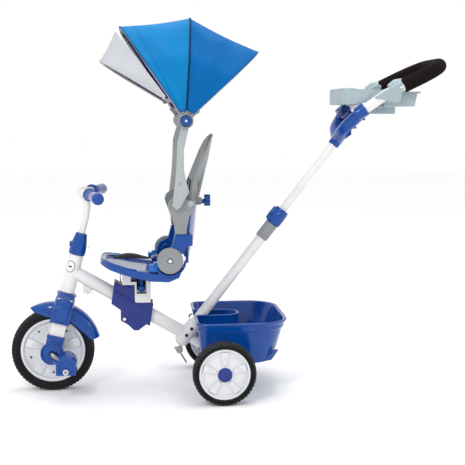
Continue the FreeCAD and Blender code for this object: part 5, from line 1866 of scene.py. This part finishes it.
# ---- Push handle ------------------------------------------------------------------------
class TRICYCLE_OT_handle(bpy.types.Operator):
    """Telescope clamp, handle yoke, foam grip and tray"""
    bl_idname = "tricycle.handle"
    bl_label = "Push handle"

    def execute(self, context):
        self.clamp()
        self.yoke()
        self.foam()
        self.tray()
        return {"FINISHED"}

    def clamp(self):
        blue = finish_named("gloss_blue")
        solids = [from_node("tube_clamp")]
        profile = [
            (11.2, 347), (18, 347), (20.6, 349), (21.4, 354), (21.6, 372), (20.8, 384), (18.4, 391),
            (11.2, 393)]
        solids.append(turned(profile, POLE_FOOT, POLE, 10))
        foot = POLE_FOOT + POLE * 369 * MM
        lever = [foot + POLE_UP * 20 * MM + POLE * s * MM for s in (-19, 19)]
        solids.append(tube(lever, 4.6, 16))
        cut = [tube([POLE_FOOT + POLE * 340 * MM, POLE_FOOT + POLE * 400 * MM], 11.1, 32)]
        clamp = moulded("clamp_collar", solids, blue, 1.1, 2, 0.4, cut)
        fit(clamp, "tube_clamp", "blue_plastic", "tube_clamp")

    def yoke(self):
        blue = finish_named("gloss_blue")
        solids = [from_node("handle_yoke")]
        for side in SIDES:
            end = at(344, side * 111, 741)
            back = at(303, side * 52, 690)
            along = at(59, side * 11, 41).normalized()
            solids.append(tube([end - along * s * MM for s in (25, 8, 6, -2.5)], [16.2, 17, 18, 18], 28))
            for share in (0.3, 0.72):
                spot = back.lerp(end, share) - POLE_UP * 15 * MM
                solids.append(tube([spot, spot - POLE_UP * 6 * MM], [4.2, 3.4], 12))
        neck = [(11.2, 611), (14.6, 612), (15.4, 615), (15.4, 632), (14, 637), (11.2, 637)]
        solids.append(turned(neck, POLE_FOOT, POLE, 36))
        yoke = moulded("yoke_shell", solids, blue, 1.5, 3, 0.4)
        fit(yoke, "handle", "blue_plastic", "handle_yoke")
        slots = []
        base = YOKE_MIDDLE + POLE_UP * 10.4 * MM
        for along, across in ((34, 16), (34, -16), (20, 24), (20, -24), (-26, 5)):
            spot = base + POLE * along * MM + Y_LINE * across * MM
            corners = ((-3.5, -1), (3.5, -1), (3.5, 1), (-3.5, 1))
            low = [spot + (POLE * a + Y_LINE * b) * MM for a, b in corners]
            slots.append(lofted([low, [p + POLE_UP * 1.0 * MM for p in low]]))
        fit(edged("yoke_slots", joined(slots), finish_named("navy_plastic"), 0.2), "handle", "blue_plastic")
        plugs = []
        for side in SIDES:
            foot = at(318, side * 34, 712)
            plugs.append(tube([foot, foot + at(12, side * 3, 22)], [15, 13], 24))
        fit(edged("yoke_plugs", joined(plugs), finish_named("navy_plastic"), 1.2), "handle", "blue_plastic")

    def foam(self):
        foam = edged("foam_sleeve", from_node("foam_grip"), finish_named("handle_foam"), 2.2, 3, 50, 60)
        fit(foam, "handle", "foam", "foam_grip")

    def tray(self):
        solids = [from_node("handle_tray")]
        for side in SIDES:
            crest = [at(x, side * 121, z) for x, z in ((404, 795), (420, 806), (434, 809), (440, 800))]
            solids.append(tube(crest, [9, 11, 11, 8], 16))
            wedge = [(366, 771), (396, 792), (424, 790), (416, 764), (402, 761)]
            solids.append(prism(wedge, side * 99, side * 136.5))
        front = rounded_plan((296, 340), 101, 794, 22, 4)
        solids.append(tube([p for p in front if p.x < 0.332], 1.9, 10))
        lip = [at(491, y, 784) for y in (-100, -50, 0, 50, 100)]
        solids.append(tube(lip, 2.6, 12))
        tray = moulded("tray_shell", solids, finish_named("tray_plastic"), 1.6, 3, 0.4,
                       [tube(handle_line(), 12.6, 24)])
        fit(tray, "handle", "pale_grey_plastic", "handle_tray")


def handle_line():
    """Centre line of the handle bar, right end to left end."""
    end = at(344, 111, 741)
    bend = at(403, 122, 782)
    corner = at(553, 128, 855)
    start = end - (bend - end).normalized() * 22 * MM
    right = [start, bend, corner]
    left = [Vector((p.x, -p.y, p.z)) for p in reversed(right)]
    return bent_line(right + left, [0.090, 0.078, 0.078, 0.090])


# ---- Carried-over pieces ----------------------------------------------------------------
class TRICYCLE_OT_plain_parts(bpy.types.Operator):
    """Finishes on the tubes, axles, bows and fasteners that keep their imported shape"""
    bl_idname = "tricycle.plain_parts"
    bl_label = "Tubes and fasteners"

    def execute(self, context):
        for node in frame["nodes"].values():
            for spot in node.material_slots:
                look = SLOT_FINISH.get(spot.material.name.split(".")[0]) if spot.material else None
                if look:
                    spot.material = finish_named(look)
        return {"FINISHED"}


# ---- Stage ------------------------------------------------------------------------------
CAMERA_AT = (-0.251, -2.575, 0.733)
CAMERA_TURN = 5.92
CAMERA_DROP = 7.02
CAMERA_LENS = 75.5


def area_light(name, place, goal, size, power):
    """Soft square light aimed at a point."""
    data = bpy.data.lights.new(name, "AREA")
    data.shape = "SQUARE"
    data.size = size
    data.energy = power
    lamp = bpy.data.objects.new(name, data)
    lamp.location = place
    lamp.rotation_euler = (Vector(goal) - Vector(place)).to_track_quat("-Z", "Y").to_euler()
    bpy.context.scene.collection.objects.link(lamp)


class TRICYCLE_OT_stage(bpy.types.Operator):
    """Pale floor, soft studio light and the camera"""
    bl_idname = "tricycle.stage"
    bl_label = "Stage"

    def execute(self, context):
        scene = context.scene
        material, _, shader = blank_material("studio_floor", (0.9, 0.9, 0.9))
        shader.inputs["Base Color"].default_value = (0.975, 0.975, 0.975, 1)
        shader.inputs["Roughness"].default_value = 0.7
        shader.inputs["Specular IOR Level"].default_value = 0.2
        bm = bmesh.new()
        corners = [(-9, -7, 0), (9, -7, 0), (9, 9, 0), (-9, 9, 0)]
        bm.faces.new([bm.verts.new(c) for c in corners])
        floor = new_object("studio_floor", bm, material)
        world = bpy.data.worlds.new("Studio")
        world.use_nodes = True
        backdrop = world.node_tree.nodes["Background"]
        backdrop.inputs["Color"].default_value = (1, 1, 1, 1)
        backdrop.inputs["Strength"].default_value = 1.0
        scene.world = world
        goal = (0.0, 0.0, 0.45)
        area_light("key", (-1.4, -2.4, 2.4), goal, 0.42, 26)
        area_light("top", (0.2, 0.2, 2.6), goal, 1.2, 20)
        area_light("fill", (2.2, -2.0, 1.2), goal, 0.6, 6)
        data = bpy.data.cameras.new("camera")
        data.lens = CAMERA_LENS
        data.sensor_width = 36
        camera = bpy.data.objects.new("camera", data)
        camera.location = CAMERA_AT
        yaw = math.radians(CAMERA_TURN)
        drop = math.radians(CAMERA_DROP)
        aim = Vector((math.sin(yaw) * math.cos(drop), math.cos(yaw) * math.cos(drop), -math.sin(drop)))
        camera.rotation_euler = aim.to_track_quat("-Z", "Y").to_euler()
        scene.collection.objects.link(camera)
        scene.camera = camera
        scene.view_settings.view_transform = "Standard"
        return {"FINISHED"}


# ---- Panel and registration -------------------------------------------------------------
PIECES = [
    TRICYCLE_OT_stage, TRICYCLE_OT_plain_parts, TRICYCLE_OT_canopy, TRICYCLE_OT_visor,
    TRICYCLE_OT_front_wheel, TRICYCLE_OT_rear_wheels, TRICYCLE_OT_pedals, TRICYCLE_OT_mudguard,
    TRICYCLE_OT_fork_covers, TRICYCLE_OT_grips, TRICYCLE_OT_badges, TRICYCLE_OT_storage_bin,
    TRICYCLE_OT_frame_fittings, TRICYCLE_OT_seat, TRICYCLE_OT_harness, TRICYCLE_OT_backrest,
    TRICYCLE_OT_canopy_posts, TRICYCLE_OT_handle,
]


class TRICYCLE_PT_sidebar(bpy.types.Panel):
    """Sizes, colours and makers of the tricycle"""
    bl_idname = "TRICYCLE_PT_sidebar"
    bl_label = "Tricycle"
    bl_space_type = "VIEW_3D"
    bl_region_type = "UI"
    bl_category = "Tricycle"

    def draw(self, context):
        layout = self.layout
        scene = context.scene
        for title, group in (("Sizes", scene.tricycle_sizes), ("Colours", scene.tricycle_colours)):
            box = layout.box()
            box.label(text=title)
            for key in group.bl_rna.properties.keys():
                if key not in ("rna_type", "name"):
                    box.prop(group, key)
        column = layout.column(align=True)
        for maker in PIECES:
            column.operator(maker.bl_idname)


CLASSES = [TricycleColours, TricycleSizes, *PIECES, TRICYCLE_PT_sidebar]


def register():
    for cls in CLASSES:
        bpy.utils.register_class(cls)
    bpy.types.Scene.tricycle_colours = bpy.props.PointerProperty(type=TricycleColours)
    bpy.types.Scene.tricycle_sizes = bpy.props.PointerProperty(type=TricycleSizes)


def unregister():
    del bpy.types.Scene.tricycle_sizes
    del bpy.types.Scene.tricycle_colours
    for cls in reversed(CLASSES):
        bpy.utils.unregister_class(cls)


def main():
    register()
    for maker in PIECES:
        group, name = maker.bl_idname.split(".")
        getattr(getattr(bpy.ops, group), name)()


if __name__ == "__main__":
    main()
